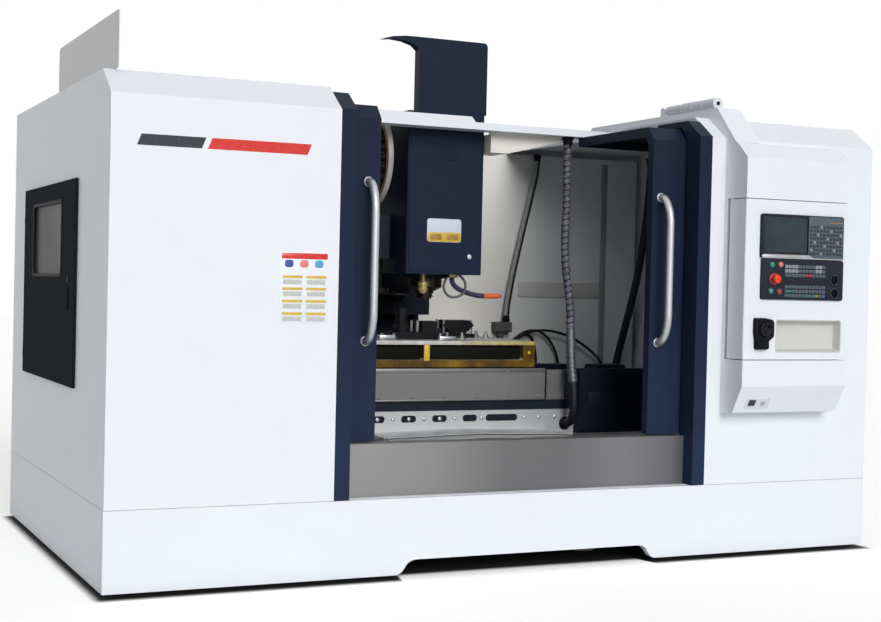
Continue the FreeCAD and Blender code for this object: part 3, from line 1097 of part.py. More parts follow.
# ---------------------------------------------------------------- all parts
PARTS = {
    "leveling_feet": leveling_feet,
    "bed": bed,
    "column": column,
    "y_screw": lambda: ball_screw("Y", (0, -950, BED_TOP - 12), 1665),
    "x_screw": lambda: ball_screw("X", (-SADDLE_HALF + 30, -150, 840), 2 * SADDLE_HALF - 60),
    "z_screw": lambda: ball_screw("Z", (0, COLUMN_FRONT + 70, 1145), 1020),
    "saddle": saddle,
    "saddle_guards": saddle_guards,
    "way_cover_1": lambda: cover_section(1),
    "way_cover_2": lambda: cover_section(2),
    "way_cover_3": lambda: cover_section(3),
    "table": table,
    "fixture_blocks": fixture_blocks,
    "head_casting": head_casting,
    "head_cover": head_cover,
    "motor_shield": motor_shield,
    "spindle": spindle,
    "magazine_disc": magazine_disc,
    "magazine_carrier": magazine_carrier,
    "change_arm": change_arm,
    "skirt_front": skirt_front,
    "skirt_sides": skirt_sides,
    "front_panel_left": front_panel_left,
    "front_panel_right": front_panel_right,
    "side_panels": side_panels,
    "roof_panels": roof_panels,
    "rear_panels": rear_panels,
    "portal_frame": portal_frame,
    "header_beam": header_beam,
    "sill_apron": sill_apron,
    "chip_pan": chip_pan,
    "splash_walls": splash_walls,
    "work_lamp": work_lamp,
    "roof_duct": roof_duct,
    "signal_lamp": signal_lamp,
    "roof_guard": roof_guard,
    "left_door_panel": lambda: door_panel(LEFT_DOOR_EDGE, -1),
    "left_door_window": lambda: door_window(LEFT_DOOR_EDGE, -1),
    "left_door_handle": lambda: door_handle(-822.0),
    "right_door_panel": lambda: door_panel(RIGHT_DOOR_EDGE, 1),
    "right_door_window": lambda: door_window(RIGHT_DOOR_EDGE, 1),
    "right_door_handle": lambda: door_handle(790.0),
    "side_door_panel": side_door_panel,
    "side_door_window": side_door_window,
    "console_frame": console_frame,
    "console_box": console_box,
    "control_panels": control_panels,
    "emergency_stop": emergency_stop,
    "start_button": lambda: push_button("start"),
    "hold_button": lambda: push_button("hold"),
    "power_on_button": lambda: push_button("power_on"),
    "power_off_button": lambda: push_button("power_off"),
    "feed_knob": lambda: selector_knob("feed"),
    "spindle_knob": lambda: selector_knob("spindle"),
    "handwheel": handwheel,
    "electrical_cabinet": electrical_cabinet,
    "cabinet_door": cabinet_door,
    "coolant_tank": coolant_tank,
    "wall_hoses": wall_hoses,
    "saddle_hose": saddle_hose,
}

os.makedirs("parts", exist_ok=True)
for name, build in PARTS.items():
    shape = build()
    shape.exportStep("parts/%s.step" % name)
    limits = shape.BoundBox
    print("%-20s solids %d valid %s volume %.4f m3 z %.0f..%.0f" % (
        name, len(shape.Solids), shape.isValid(), shape.Volume / 1e9, limits.ZMin, limits.ZMax))
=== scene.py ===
import json
from math import cos, pi, radians, sin

import bmesh
import bpy
from mathutils import Matrix, Vector


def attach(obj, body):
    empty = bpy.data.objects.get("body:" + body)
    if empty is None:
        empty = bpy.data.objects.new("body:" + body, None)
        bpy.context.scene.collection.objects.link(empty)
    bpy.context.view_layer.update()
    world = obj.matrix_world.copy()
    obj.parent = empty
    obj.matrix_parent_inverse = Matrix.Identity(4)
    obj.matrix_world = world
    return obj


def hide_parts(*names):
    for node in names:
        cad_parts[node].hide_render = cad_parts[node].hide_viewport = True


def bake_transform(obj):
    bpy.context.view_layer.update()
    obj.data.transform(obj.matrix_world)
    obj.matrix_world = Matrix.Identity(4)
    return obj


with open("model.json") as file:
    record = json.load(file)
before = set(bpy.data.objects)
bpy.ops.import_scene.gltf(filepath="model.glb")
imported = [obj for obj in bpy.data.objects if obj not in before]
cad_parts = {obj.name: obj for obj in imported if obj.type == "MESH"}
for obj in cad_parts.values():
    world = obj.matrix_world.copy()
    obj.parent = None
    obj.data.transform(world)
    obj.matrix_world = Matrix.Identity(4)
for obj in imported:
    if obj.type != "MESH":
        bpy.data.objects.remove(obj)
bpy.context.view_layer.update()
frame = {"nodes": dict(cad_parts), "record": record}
NODES = frame["nodes"]
scene = bpy.context.scene

# X runs along the front, Y towards the rear, Z up. Cord routes are in metres, as the frame is.
# Every other piece is drawn in millimetres and scaled once, in piece().
MM = 1000.0
FRONT = -1400            # front skin of the white housings
CONSOLE_FRONT = FRONT - 183
PANEL_FACE = CONSOLE_FRONT - 12
PENDANT_FACE = CONSOLE_FRONT - 22
DOOR_FRONT = FRONT + 128
HEAD_FACE = -384.5       # front of the head cover
TABLE_FRONT = -599.5
TABLE_TOP = 1069.5
STRIP_FACE = -606        # drain strip below the saddle's aprons
CABINET_FACE = 1504.5
COLUMN_BACK = 1559.5
SIDE_FACE = -2064        # outer face of the side door
HALF_WIDTH, SKIRT_LOW, SKIRT_TOP = 2050, 20, 375
CHAMFER_LOW, CHAMFER_BACK, ROOF = 2146.0, -1237, 2263
OUT, REAR, UP, DOWN, RIGHT, LEFT = (0, -1, 0), (0, 1, 0), (0, 0, 1), (0, 0, -1), (1, 0, 0), (-1, 0, 0)


# ------ material helpers
def shader(name):
    """A new node material, its tree and its main shader."""
    material = bpy.data.materials.new(name)
    material.use_nodes = True
    tree = material.node_tree
    return material, tree, tree.nodes["Principled BSDF"]


def feed(tree, place, value):
    """An input linked to an output, or set to a plain value."""
    if isinstance(value, bpy.types.NodeSocket):
        tree.links.new(value, place)
    else:
        place.default_value = value


def fill(tree, node, **values):
    """A node's inputs or attributes by name, with _ for a space."""
    for key, value in values.items():
        place = node.inputs.get(key.replace("_", " "))
        if place is None:
            setattr(node, key, value)
        else:
            feed(tree, place, value)
    return node


def add(tree, kind, **values):
    """A new node with its inputs or attributes filled in."""
    return fill(tree, tree.nodes.new(kind), **values)


def object_coords(tree, stretch=(1, 1, 1), turn=(0, 0, 0)):
    """Object coordinates, turned and scaled by axis."""
    coords = add(tree, "ShaderNodeTexCoord").outputs["Object"]
    return add(tree, "ShaderNodeMapping", Vector=coords, Scale=stretch, Rotation=turn).outputs["Vector"]


def parted(tree, output):
    """The X, Y and Z outputs of a kind of coordinate."""
    coords = add(tree, "ShaderNodeTexCoord").outputs[output]
    return add(tree, "ShaderNodeSeparateXYZ", Vector=coords).outputs


def noise(tree, vector, scale, detail, roughness=0.5):
    """Noise on a coordinate."""
    return add(tree, "ShaderNodeTexNoise", Vector=vector, Scale=scale, Detail=detail,
               Roughness=roughness).outputs["Fac"]


def ranged(tree, value, low=0.0, high=1.0, to_low=0.0, to_high=1.0, how="LINEAR"):
    """A value mapped from one range to another."""
    return add(tree, "ShaderNodeMapRange", interpolation_type=how, Value=value, From_Min=low,
               From_Max=high, To_Min=to_low, To_Max=to_high).outputs["Result"]


def ramp(tree, source, *stops):
    """A colour ramp on a value."""
    node = add(tree, "ShaderNodeValToRGB", Fac=source)
    points = node.color_ramp.elements
    while len(points) < len(stops):
        points.new(0.5)
    for point, (position, colour) in zip(points, stops):
        point.position = position
        point.color = (*colour, 1)
    return node.outputs["Color"]


def shade(colour, factor):
    """A colour made lighter or darker."""
    return tuple(min(1.0, c * factor) for c in colour)


def mixed(tree, factor, first, second, how="MIX"):
    """Two colours mixed by a factor."""
    node = add(tree, "ShaderNodeMix", data_type="RGBA", blend_type=how)
    for place, value in ((0, factor), (6, first), (7, second)):
        feed(tree, node.inputs[place], value)
    return node.outputs[2]


def worked(tree, operation, *values):
    """A math node on outputs or plain numbers."""
    node = add(tree, "ShaderNodeMath", operation=operation)
    for place, value in zip(node.inputs, values):
        feed(tree, place, value)
    return node.outputs["Value"]


def relief(tree, strength, height):
    """A bump one millimetre deep at full strength."""
    return add(tree, "ShaderNodeBump", Strength=strength, Distance=0.001, Height=height).outputs["Normal"]


GLOSS_DRIFT = 0.06


def grainy(name, colour, rough, metallic=0.0, spread=0.05, scale=6, bump=0.02, fine=300,
           stretch=(1, 1, 1), specular=0.5):
    """A finish whose colour drifts a little, with a fine bump and uneven gloss.

    The colour is one colour, or an axis, two places on it in metres and the stops between them.
    """
    material, tree, bsdf = shader(name)
    vector = object_coords(tree, stretch)
    drift = noise(tree, vector, scale, 4.0)
    grain = noise(tree, vector, fine, 3.0)
    if isinstance(colour[0], str):
        axis, low, high, *stops = colour
        base = ramp(tree, ranged(tree, parted(tree, "Object")[axis], low, high), *stops)
        drifting = ramp(tree, drift, (0.3, (1 - spread,) * 3), (0.7, (1.0,) * 3))
        base = mixed(tree, 1.0, base, drifting, "MULTIPLY")
    else:
        base = ramp(tree, drift, (0.3, shade(colour, 1 - spread)), (0.7, shade(colour, 1 + spread)))
    gloss = ranged(tree, drift, to_low=max(0.02, rough - GLOSS_DRIFT), to_high=min(1.0, rough + GLOSS_DRIFT))
    fill(tree, bsdf, Base_Color=base, Roughness=gloss, Normal=relief(tree, bump, grain),
         Metallic=metallic, Specular_IOR_Level=specular)
    return material


# ------ materials
WHITE = grainy("white paint", (0.78, 0.81, 0.86), 0.42, spread=0.012, bump=0.03, fine=700, specular=0.4)
CREAM = grainy("cream paint", (0.8, 0.78, 0.72), 0.5, spread=0.03, specular=0.3)
# The navy is lighter and bluer low down and darker high up: painted light and shade, not a change in the
# paint.
NAVY = grainy("navy paint", ("Z", 0.5, 2.4, (0, (0.0165, 0.028, 0.066)), (0.45, (0.0125, 0.0215, 0.048)),
                             (1, (0.0105, 0.018, 0.037))),
              0.45, spread=0.1, bump=0.04, fine=700, specular=0.09)
GREY = grainy("grey paint", (0.42, 0.44, 0.46), 0.45, spread=0.03, specular=0.3)
GUARD = grainy("guard sheet", (0.53, 0.535, 0.54), 0.42, 0.2, spread=0.03, scale=2)
SLATE = grainy("slate paint", (0.0125, 0.014, 0.0175), 0.8, spread=0.1, bump=0.05, specular=0.02)
# Stainless sheet painted light below 0.6 m, where the drain strip catches the light, and dark above on the
# aprons: painted light and shade on one sheet.
SHEET = grainy("stainless sheet", ("Z", 0.56, 0.8, (0, (0.55, 0.56, 0.57)), (0.58, (0.5, 0.51, 0.52)),
                                   (0.62, (0.2, 0.2, 0.205)), (1, (0.19, 0.19, 0.19))),
               0.42, 0.55, spread=0.12, scale=3, bump=0.05, fine=900, stretch=(0.05, 1, 1), specular=0.3)
# Brushed sill sheet with lighter and darker bands along its length: painted reflections and shade.
SILL = grainy("brushed sill sheet", ("X", -0.95, 0.95, (0, (0.29, 0.285, 0.28)),
                                     (0.25, (0.25, 0.245, 0.245)), (0.45, (0.155, 0.155, 0.16)),
                                     (0.62, (0.15, 0.15, 0.155)), (0.8, (0.2, 0.195, 0.205)),
                                     (1, (0.13, 0.13, 0.145))),
              0.45, 0.45, spread=0.12, scale=3, bump=0.05, fine=900, stretch=(0.05, 1, 1), specular=0.25)
STEEL = grainy("ground steel", (0.4, 0.41, 0.43), 0.3, 1.0, spread=0.08, scale=12, bump=0.04)
CHROME = grainy("bright steel", (0.62, 0.63, 0.65), 0.18, 1.0, scale=30, bump=0.03)
BRASS = grainy("brass", (0.5, 0.4, 0.15), 0.4, 0.35, spread=0.15, scale=30, bump=0.04)
DARK = grainy("oiled steel", (0.0075, 0.0075, 0.009), 0.45, 0.1, spread=0.3, scale=20, bump=0.08,
              specular=0.12)
CASTING = grainy("painted casting", (0.006, 0.0095, 0.018), 0.5, spread=0.2, bump=0.2, fine=120,
                 specular=0.15)
TUBE = grainy("satin tube", (0.47, 0.48, 0.52), 0.38, 0.6, spread=0.03, scale=15)
RUBBER = grainy("hose rubber", (0.009, 0.01, 0.014), 0.45, spread=0.25, scale=30, bump=0.1, specular=0.25)
WRAP = grainy("hose wrap", (0.105, 0.1, 0.13), 0.55, spread=0.6, scale=45, bump=0.15, specular=0.3)
SLEEVE = grainy("braided sleeve", (0.11, 0.115, 0.13), 0.45, 0.6, spread=0.3, scale=60, bump=0.2, fine=700)
CONDUIT = grainy("pale conduit", (0.3, 0.31, 0.31), 0.45, spread=0.15, scale=30, bump=0.1, specular=0.3)
BLACK = grainy("black plastic", (0.005, 0.006, 0.008), 0.55, spread=0.15, scale=30, bump=0.08, specular=0.08)
VIOLET = grainy("hose links", (0.03, 0.032, 0.075), 0.4, spread=0.2, scale=60, bump=0.05, specular=0.3)
PALE = grainy("pale plastic", (0.66, 0.69, 0.74), 0.4, spread=0.03, scale=30, specular=0.3)
AMBER = grainy("amber film", (0.36, 0.2, 0.03), 0.4, spread=0.2, scale=30)
FIELD = grainy("grey field", (0.52, 0.53, 0.51), 0.5, spread=0.12, scale=160, specular=0.3)
TRAY = grainy("tray enamel", (0.6, 0.6, 0.575), 0.5, spread=0.02, specular=0.3)
LIP = grainy("worn table lip", ("X", -0.9, 0.46, (0, (0.66, 0.63, 0.63)), (0.62, (0.64, 0.62, 0.61)),
                                (0.72, (0.6, 0.55, 0.32)), (1, (0.46, 0.36, 0.09))),
             0.45, spread=0.35, scale=25, bump=0.05, specular=0.25)
JOINT = grainy("wall joint strip", (0.3, 0.335, 0.335), 0.5, spread=0.08, specular=0.25)
BOX = grainy("weathered casting", (0.1, 0.1, 0.1), 0.55, spread=0.2, scale=60, bump=0.1, specular=0.2)
WALL_SHADOW_BAND = grainy("painted wall shadow band", (0.58, 0.57, 0.575), 0.5, spread=0.08, specular=0.25)
PANEL = grainy("panel film", (0.017, 0.02, 0.029), 0.5, spread=0.15, scale=40, bump=0.05, specular=0.1)
POCKET_SHADE = grainy("pocket floor shade", (0.006, 0.006, 0.005), 0.5, specular=0.05, bump=0.1)
NOSE = grainy("spindle nose steel", (0.03, 0.021, 0.017), 0.4, 0.5, spread=0.3, scale=25, bump=0.05,
              specular=0.3)
RING = grainy("magazine ring paint", (0.38, 0.36, 0.33), 0.45, spread=0.12, scale=8, bump=0.05, specular=0.3)
# Inner walls: warm cream on the left turning grey-green right of the conduits, painted light and shade: the
# cream stands for light falling on the left part, the grey-green for the cooler shade on the right.
WALL = grainy("splash wall", ("X", 0.6, 1.8, (0, (0.86, 0.84, 0.79)), (0.3, (0.84, 0.82, 0.78)),
                              (0.43, (0.78, 0.8, 0.79)), (1, (0.72, 0.79, 0.8))),
              0.5, scale=2.5, specular=0.25)


def plastic(name, colour, rough=0.35, spread=0.05, specular=0.5):
    """A moulded part in one bright colour."""
    return grainy(name, colour, rough, spread=spread, scale=40, specular=specular)


RED = plastic("red plastic", (0.62, 0.025, 0.015), 0.28)
STOP_RED = plastic("stop button plastic", (0.8, 0.055, 0.012), 0.35, 0.06, 0.3)
ROSE = plastic("rose key", (0.75, 0.2, 0.18))
CRIMSON = plastic("crimson key", (0.4, 0.02, 0.03))
GREEN = plastic("green plastic", (0.01, 0.3, 0.14), 0.28)
TEAL = plastic("teal key", (0.02, 0.25, 0.22))
YELLOW = plastic("yellow key", (0.62, 0.42, 0.04), 0.4, 0.08)
ORANGE = plastic("orange nozzle", (0.72, 0.13, 0.03), 0.4, 0.08, 0.3)


def cap_film(name, colour, spread):
    """Printed film on a key cap."""
    return grainy(name, colour, 0.45, spread=spread, scale=80, specular=0.25)


KEY_GREY = cap_film("grey keys", (0.075, 0.1, 0.13), 0.2)
KEY_DARK = cap_film("dark keys", (0.03, 0.037, 0.047), 0.25)
KEY_LIGHT = cap_film("light keys", (0.24, 0.26, 0.28), 0.1)


def ink(name, colour, spread=0.06):
    """Printed colour on a plate."""
    return grainy(name, colour, 0.4, spread=spread, scale=60, specular=0.3)


LABEL = ink("pale label", (0.6, 0.67, 0.76), 0.05)
BLUE_INK = ink("blue field", (0.05, 0.09, 0.34))
SKY_INK = ink("light blue field", (0.1, 0.36, 0.58))


def iron_material():
    """Oiled cast iron: ground pale on top, amber oil film and dark stains on the sides."""
    material, tree, bsdf = shader("machined iron")
    stains = noise(tree, object_coords(tree), 5.0, 6.0, 0.65)
    lines = noise(tree, object_coords(tree, (2.0, 240.0, 240.0)), 1.0, 2.0)
    side = ramp(tree, stains, (0.3, (0.02, 0.01, 0.003)), (0.48, (0.08, 0.04, 0.003)),
                (0.58, (0.15, 0.082, 0.006)), (0.7, (0.3, 0.18, 0.015)))
    top = ramp(tree, stains, (0.3, (0.18, 0.18, 0.18)), (0.45, (0.42, 0.41, 0.4)),
               (0.65, (0.68, 0.67, 0.68)))
    upward = ranged(tree, parted(tree, "Normal")["Z"], 0.45, 0.75)
    fill(tree, bsdf, Base_Color=mixed(tree, upward, side, top), Normal=relief(tree, 0.08, lines),
         Roughness=ranged(tree, stains, to_low=0.25, to_high=0.5), Metallic=0.05, Specular_IOR_Level=0.2)
    return material


def glass(name, pattern, stops, rough, specular):
    """Dark glass whose base colour follows a pattern, made from the material's tree."""
    material, tree, bsdf = shader(name)
    fill(tree, bsdf, Base_Color=ramp(tree, pattern(tree), *stops), Roughness=rough,
         Specular_IOR_Level=specular)
    return material


def sheen_bands(tree):
    """Broad slanting bands of painted sheen."""
    return add(tree, "ShaderNodeTexWave", Vector=object_coords(tree, turn=(0.7, 0, 0.3)), Scale=0.55,
               Distortion=1.2, Detail=1.0).outputs["Fac"]


IRON = iron_material()
# Smoked windows with a paler sheen painted in as slanting bands, and the display while it is switched off.
PANE = glass("smoked pane", sheen_bands, [(0.25, (0.075, 0.072, 0.068)), (0.75, (0.15, 0.145, 0.14))], 0.3, 0.02)
SCREEN = glass("display glass", lambda tree: noise(tree, object_coords(tree), 9.0, 2.0),
               [(0.3, (0.01, 0.022, 0.032)), (0.7, (0.02, 0.038, 0.052))], 0.2, 0.3)

SLOTS = {"white paint": WHITE, "cream paint": CREAM, "navy paint": NAVY, "grey paint": GREY,
         "slate paint": SLATE, "stainless sheet": SHEET, "steel": STEEL, "dark steel": DARK,
         "casting": CASTING, "machined iron": IRON, "polished tube": TUBE, "clear pane": PANE,
         "hose rubber": RUBBER, "black plastic": BLACK, "red plastic": RED, "green plastic": GREEN,
         "pale plastic": PALE}
# The saddle takes the darker casting finish instead of its navy paint: painted shade, as it lies in shadow.
BY_NODE = {"splash_walls": WALL, "sill_apron": SILL, "roof_guard": GUARD, "magazine_carrier": CASTING,
           "change_arm": DARK, "spindle": NOSE, "saddle": CASTING}

for part in frame["record"]["subparts"]:
    mesh = NODES[part["node"]].data
    mesh.materials.clear()
    mesh.materials.append(BY_NODE.get(part["node"], SLOTS[part["material_slot"]]))

# ------ mesh helpers, in millimetres
canvas = bmesh.new()     # the helpers draw on it, and piece() takes what is drawn


def piece(name, body, slot, material=None, smooth=35, replaced=()):
    """What is on the canvas, made metres, as a finished mesh that rides on a body."""
    bmesh.ops.recalc_face_normals(canvas, faces=canvas.faces)
    mesh = bpy.data.meshes.new(name)
    canvas.to_mesh(mesh)
    canvas.clear()
    mesh.transform(Matrix.Scale(1 / MM, 4))
    for face in mesh.polygons:
        face.use_smooth = True
    mesh.set_sharp_from_angle(angle=radians(smooth))
    mesh.materials.append(material or SLOTS[slot])
    obj = bpy.data.objects.new(name, mesh)
    scene.collection.objects.link(obj)
    if body:
        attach(obj, body)
    if replaced:
        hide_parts(*replaced)
    return obj


def loft(rings, closed=False):
    """Faces between rings of points; a closed loft joins the last ring to the first."""
    rows = [[canvas.verts.new(p) for p in ring] for ring in rings]
    count = len(rings[0])
    pairs = list(zip(rows, rows[1:]))
    if closed:
        pairs.append((rows[-1], rows[0]))
    for low, high in pairs:
        for k in range(count):
            canvas.faces.new((low[k], low[(k + 1) % count], high[(k + 1) % count], high[k]))
    if not closed:
        canvas.faces.new(rows[0][::-1])
        canvas.faces.new(rows[-1])


def block(x, y, z, edge, segments=2):
    """A box with rounded edges."""
    verts = bmesh.ops.create_cube(canvas, size=1.0)["verts"]
    for vert in verts:
        vert.co = Vector([(low + high) / 2 + c * (high - low) for (low, high), c in zip((x, y, z), vert.co)])
    edges = list(dict.fromkeys(e for vert in verts for e in vert.link_edges))
    bmesh.ops.bevel(canvas, geom=edges, offset=edge, segments=segments, affect="EDGES", profile=0.5,
                    clamp_overlap=True)


def circle(count, radius=1.0):
    """Even places on a circle."""
    turns = [2 * pi * k / count for k in range(count)]
    return [(radius * cos(t), radius * sin(t)) for t in turns]


def turned(centre, direction, profile, sides=24):
    """A turned form from (radius, distance along) pairs, closed at both ends."""
    ahead = Vector(direction)
    across = Vector(RIGHT if direction in (UP, DOWN) else UP).cross(ahead).normalized()
    third = ahead.cross(across)
    loft([[Vector(centre) + ahead * far + (across * u + third * v) * radius for u, v in circle(sides)]
          for radius, far in profile])


def rounded(u, v, radius, steps=4):
    """Outline of a rectangle with rounded corners."""
    corners = [(u[1] - radius, v[1] - radius), (u[0] + radius, v[1] - radius),
               (u[0] + radius, v[0] + radius), (u[1] - radius, v[0] + radius)]
    outline = []
    for k, (cu, cv) in enumerate(corners):
        for step in range(steps + 1):
            t = pi / 2 * (k + step / steps)
            outline.append((cu + radius * cos(t), cv + radius * sin(t)))
    return outline


def inset(outline, by):
    """A convex outline, drawn anticlockwise, moved inwards."""
    moved = []
    for k, (u, v) in enumerate(outline):
        here = Vector((u, v))
        first = (here - Vector(outline[k - 1])).normalized()
        second = (Vector(outline[(k + 1) % len(outline)]) - here).normalized()
        inward = Vector((-first.y - second.y, first.x + second.x)).normalized()
        cosine = inward.dot(Vector((-first.y, first.x)))
        moved.append((u + inward.x * by / cosine, v + inward.y * by / cosine))
    return moved


def stacked(axis, levels, closed=False):
    """A loft of (outline, level) pairs square to the x or the y axis."""
    loft([[(level, u, v) if axis == "x" else (u, level, v) for u, v in outline]
          for outline, level in levels], closed)


def slab(axis, outline, back, face, edge=0.0):
    """A plate between two levels on an axis, with the edge of its face rounded."""
    out = 1 if face > back else -1
    levels = [(outline, back), (outline, face - out * edge)]
    if edge:
        levels += [(inset(outline, 0.3 * edge), face - out * 0.3 * edge), (inset(outline, edge), face)]
    stacked(axis, levels)


def band(axis, outer, inner, back, face):
    """A closed frame between two outlines."""
    stacked(axis, [(outer, back), (outer, face), (inner, face), (inner, back)], closed=True)


def studs(places, direction, profile, sides):
    """The same turned form at several places."""
    for place in places:
        turned(place, direction, profile, sides)


def route_line(points):
    """The line of a NURBS spline whose control points are a route's, in metres."""
    curve = bpy.data.curves.new("route", "CURVE")
    curve.dimensions = "3D"
    curve.resolution_u = 16
    spline = curve.splines.new("NURBS")
    spline.points.add(len(points) - 1)
    for point, place in zip(spline.points, points):
        point.co = (*place, 1)
    spline.order_u = 3
    spline.use_endpoint_u = True
    holder = bpy.data.objects.new("route", curve)
    mesh = bpy.data.meshes.new_from_object(holder)
    line = [vert.co.copy() for vert in mesh.vertices]
    bpy.data.objects.remove(holder)
    bpy.data.curves.remove(curve)
    bpy.data.meshes.remove(mesh)
    return line


def stepped(line, step):
    """Places at even steps on a line in metres, and their distances, both in millimetres."""
    total = sum((b - a).length for a, b in zip(line, line[1:]))
    count = max(2, round(total / step))
    places, gone, k = [], 0.0, 0
    for i in range(count + 1):
        want = total * i / count
        while k < len(line) - 2 and gone + (line[k + 1] - line[k]).length < want:
            gone += (line[k + 1] - line[k]).length
            k += 1
        length = (line[k + 1] - line[k]).length
        place = line[k].lerp(line[k + 1], min(1.0, (want - gone) / length))
        places.append((place * MM, want * MM))
    return places


def carried(line):
    """Three axes at each point of a line: two square to it, carried without twist, and ahead."""
    axes = []
    across = None
    for k in range(len(line)):
        ahead = (line[min(k + 1, len(line) - 1)] - line[max(k - 1, 0)]).normalized()
        if across is None:
            across = Vector(RIGHT if abs(ahead.x) < 0.7 else REAR)
        across = (across - ahead * across.dot(ahead)).normalized()
        axes.append((across.copy(), ahead.cross(across), ahead))
    return axes


def swept(places, radius, sides=14):
    """A round section along (point, distance) pairs; radius is a number or made from the distance."""
    rings = []
    for (point, far), (across, third, _) in zip(places, carried([point for point, _ in places])):
        size = radius(far) if callable(radius) else radius
        rings.append([point + (across * u + third * v) * size for u, v in circle(sides)])
    loft(rings)


def helix(places, radius, thick, width, pitch):
    """A flat strip wound round a line."""
    profile = [(radius - 1, -width / 2), (radius + thick * 0.7, -width / 2), (radius + thick, 0),
               (radius + thick * 0.7, width / 2), (radius - 1, width / 2)]
    rings = []
    for (point, far), (across, third, ahead) in zip(places, carried([point for point, _ in places])):
        t = 2 * pi * far / pitch
        out = across * cos(t) + third * sin(t)
        rings.append([point + out * r + ahead * w for r, w in profile])
    loft(rings)


# ------ cords
BUNDLE_ROUTE = [
    (0.7, -0.47, 2.2), (0.7, -0.47, 2.13), (0.693, -0.478, 2.0), (0.684, -0.505, 1.83),
    (0.652, -0.545, 1.64), (0.642, -0.58, 1.46), (0.654, -0.618, 1.29), (0.642, -0.652, 1.12),
    (0.626, -0.69, 0.96), (0.63, -0.712, 0.85), (0.637, -0.714, 0.765), (0.641, -0.704, 0.69),
    (0.643, -0.672, 0.64), (0.643, -0.632, 0.625), (0.643, -0.606, 0.625)]
WALL_ROUTE = [
    (1.946, 0.59, 2.222), (1.946, 0.59, 2.15), (1.938, 0.592, 2.0), (1.922, 0.604, 1.756),
    (1.902, 0.634, 1.5), (1.876, 0.674, 1.28), (1.842, 0.716, 1.06), (1.812, 0.744, 0.88),
    (1.796, 0.754, 0.76), (1.789, 0.758, 0.662), (1.793, 0.755, 0.566), (1.793, 0.755, 0.473)]
CABLE_RADIUS = 8.5
# Each cable's place in depth, its length and its route across the wall.
CABLES = [
    (0.796, 1.218, [(1.0, 1.0), (1.045, 1.0), (1.1, 1.04), (1.18, 1.076), (1.31, 1.09), (1.476, 1.052),
                    (1.615, 0.976), (1.718, 0.892), (1.772, 0.796), (1.786, 0.69), (1.792, 0.56),
                    (1.792, 0.473)]),
    (0.815, 0.945, [(1.0, 1.0), (1.045, 1.0), (1.1, 1.042), (1.165, 1.08), (1.255, 1.086), (1.33, 1.038),
                    (1.385, 0.958), (1.412, 0.868), (1.42, 0.75), (1.414, 0.63), (1.418, 0.55),
                    (1.418, 0.473)]),
    (0.834, 0.804, [(1.0, 1.0), (1.05, 1.0), (1.1, 1.032), (1.15, 1.062), (1.218, 1.046), (1.246, 0.966),
                    (1.257, 0.862), (1.254, 0.745), (1.259, 0.64), (1.257, 0.56), (1.257, 0.473)])]
# Each conduit's foot, radius and material; both rise the same way.
CONDUITS = [(1.002, 0.8, 13.0, CONDUIT), (1.034, 0.828, 11.0, RUBBER)]
CONDUIT_RISE = [(0, 0, 1.136), (0, 0, 1.19), (0.014, 0.002, 1.29), (0.05, 0.006, 1.47), (0.11, 0.004, 1.735),
                (0.172, 0.004, 1.985), (0.204, 0.004, 2.14), (0.204, 0.004, 2.222)]


def ribbed(radius, pitch, depth):
    """Radius of a corrugated hose by distance."""
    return lambda far: radius - depth * (0.5 - 0.5 * cos(2 * pi * far / pitch))


def wall_cord(name, route, material, size, step, sides=14):
    """A cord on the back wall, from its fitting to where it goes back into the machine."""
    line = route_line(route)
    swept(stepped(line, step / MM), size, sides)
    cord = piece(name, "machine", "hose rubber", material, smooth=60, replaced=["wall_hoses"])


for k, (y, length, places) in enumerate(CABLES):
    wall_cord(f"wall_cable_{k + 1}", [(x, y, z) for x, z in places], RUBBER,
              CABLE_RADIUS, 12)
for k, (x, y, radius, material) in enumerate(CONDUITS):
    wall_cord(f"wall_conduit_{k + 1}", [(x + right, y + back, z) for right, back, z in CONDUIT_RISE],
              material, ribbed(radius, 9.0, 1.4), 2.25)
wall_cord("wall_bundle", WALL_ROUTE, RUBBER, ribbed(26.0, 16.0, 2.0), 4.0, sides=18)

block((930, 1045), (780, 856), (1072, 1136), 4)
slab("y", rounded((936, 1039), (1078, 1130), 6), 781, 776, 2)
studs([(x, 776, z) for z in (1084, 1124) for x in (942, 1033)], OUT, [(3.2, -1), (3.2, 1.2), (2.2, 2.2)], 10)
block((966, 994), (800, 856), (1020, 1074), 3)
piece("junction_boxes", "machine", "casting", BOX, replaced=["wall_hoses"])
block((960, 1000), (782, 856), (945, 1022), 4)
piece("cable_box", "machine", "grey paint", FIELD, replaced=["wall_hoses"])

GLAND_STEP = 13          # the length that a gland's profile counts in


def gland(centre, direction, radius, widest):
    """A cable gland from a flange down to the cord."""
    shares = [(1.0, 0), (1.55, 0.2), (1.55, 0.9), (1.35, 1.0), (1.35, 1.5), (1.12, 2.0), (1.03, 3.2)]
    profile = [(radius * min(share, widest), GLAND_STEP * far) for share, far in shares]
    turned([place * MM for place in centre], direction, profile, 18)


def flange(centre, direction, last):
    """A bolted flange and the sleeve round the end of a thick hose."""
    turned(centre, direction, [(26, 0), (38, 1), (38, 8), (31, 12), *last], 24)


for y, _, _ in CABLES:
    gland((1.0, y, 1.0), RIGHT, CABLE_RADIUS, 1.55)
for x, y, radius, _ in CONDUITS:
    (_, _, low), (right, back, high) = CONDUIT_RISE[0], CONDUIT_RISE[-1]
    gland((x, y, low), UP, radius, 1.4)
    gland((x + right, y + back, high), DOWN, radius, 1.4)
flange([place * MM for place in WALL_ROUTE[0]], DOWN, [(30, 30), (27, 52)])
flange([place * MM for place in WALL_ROUTE[-1]], UP, [(30, 24), (27, 42)])
piece("cord_glands", "machine", "black plastic", replaced=["wall_hoses"])

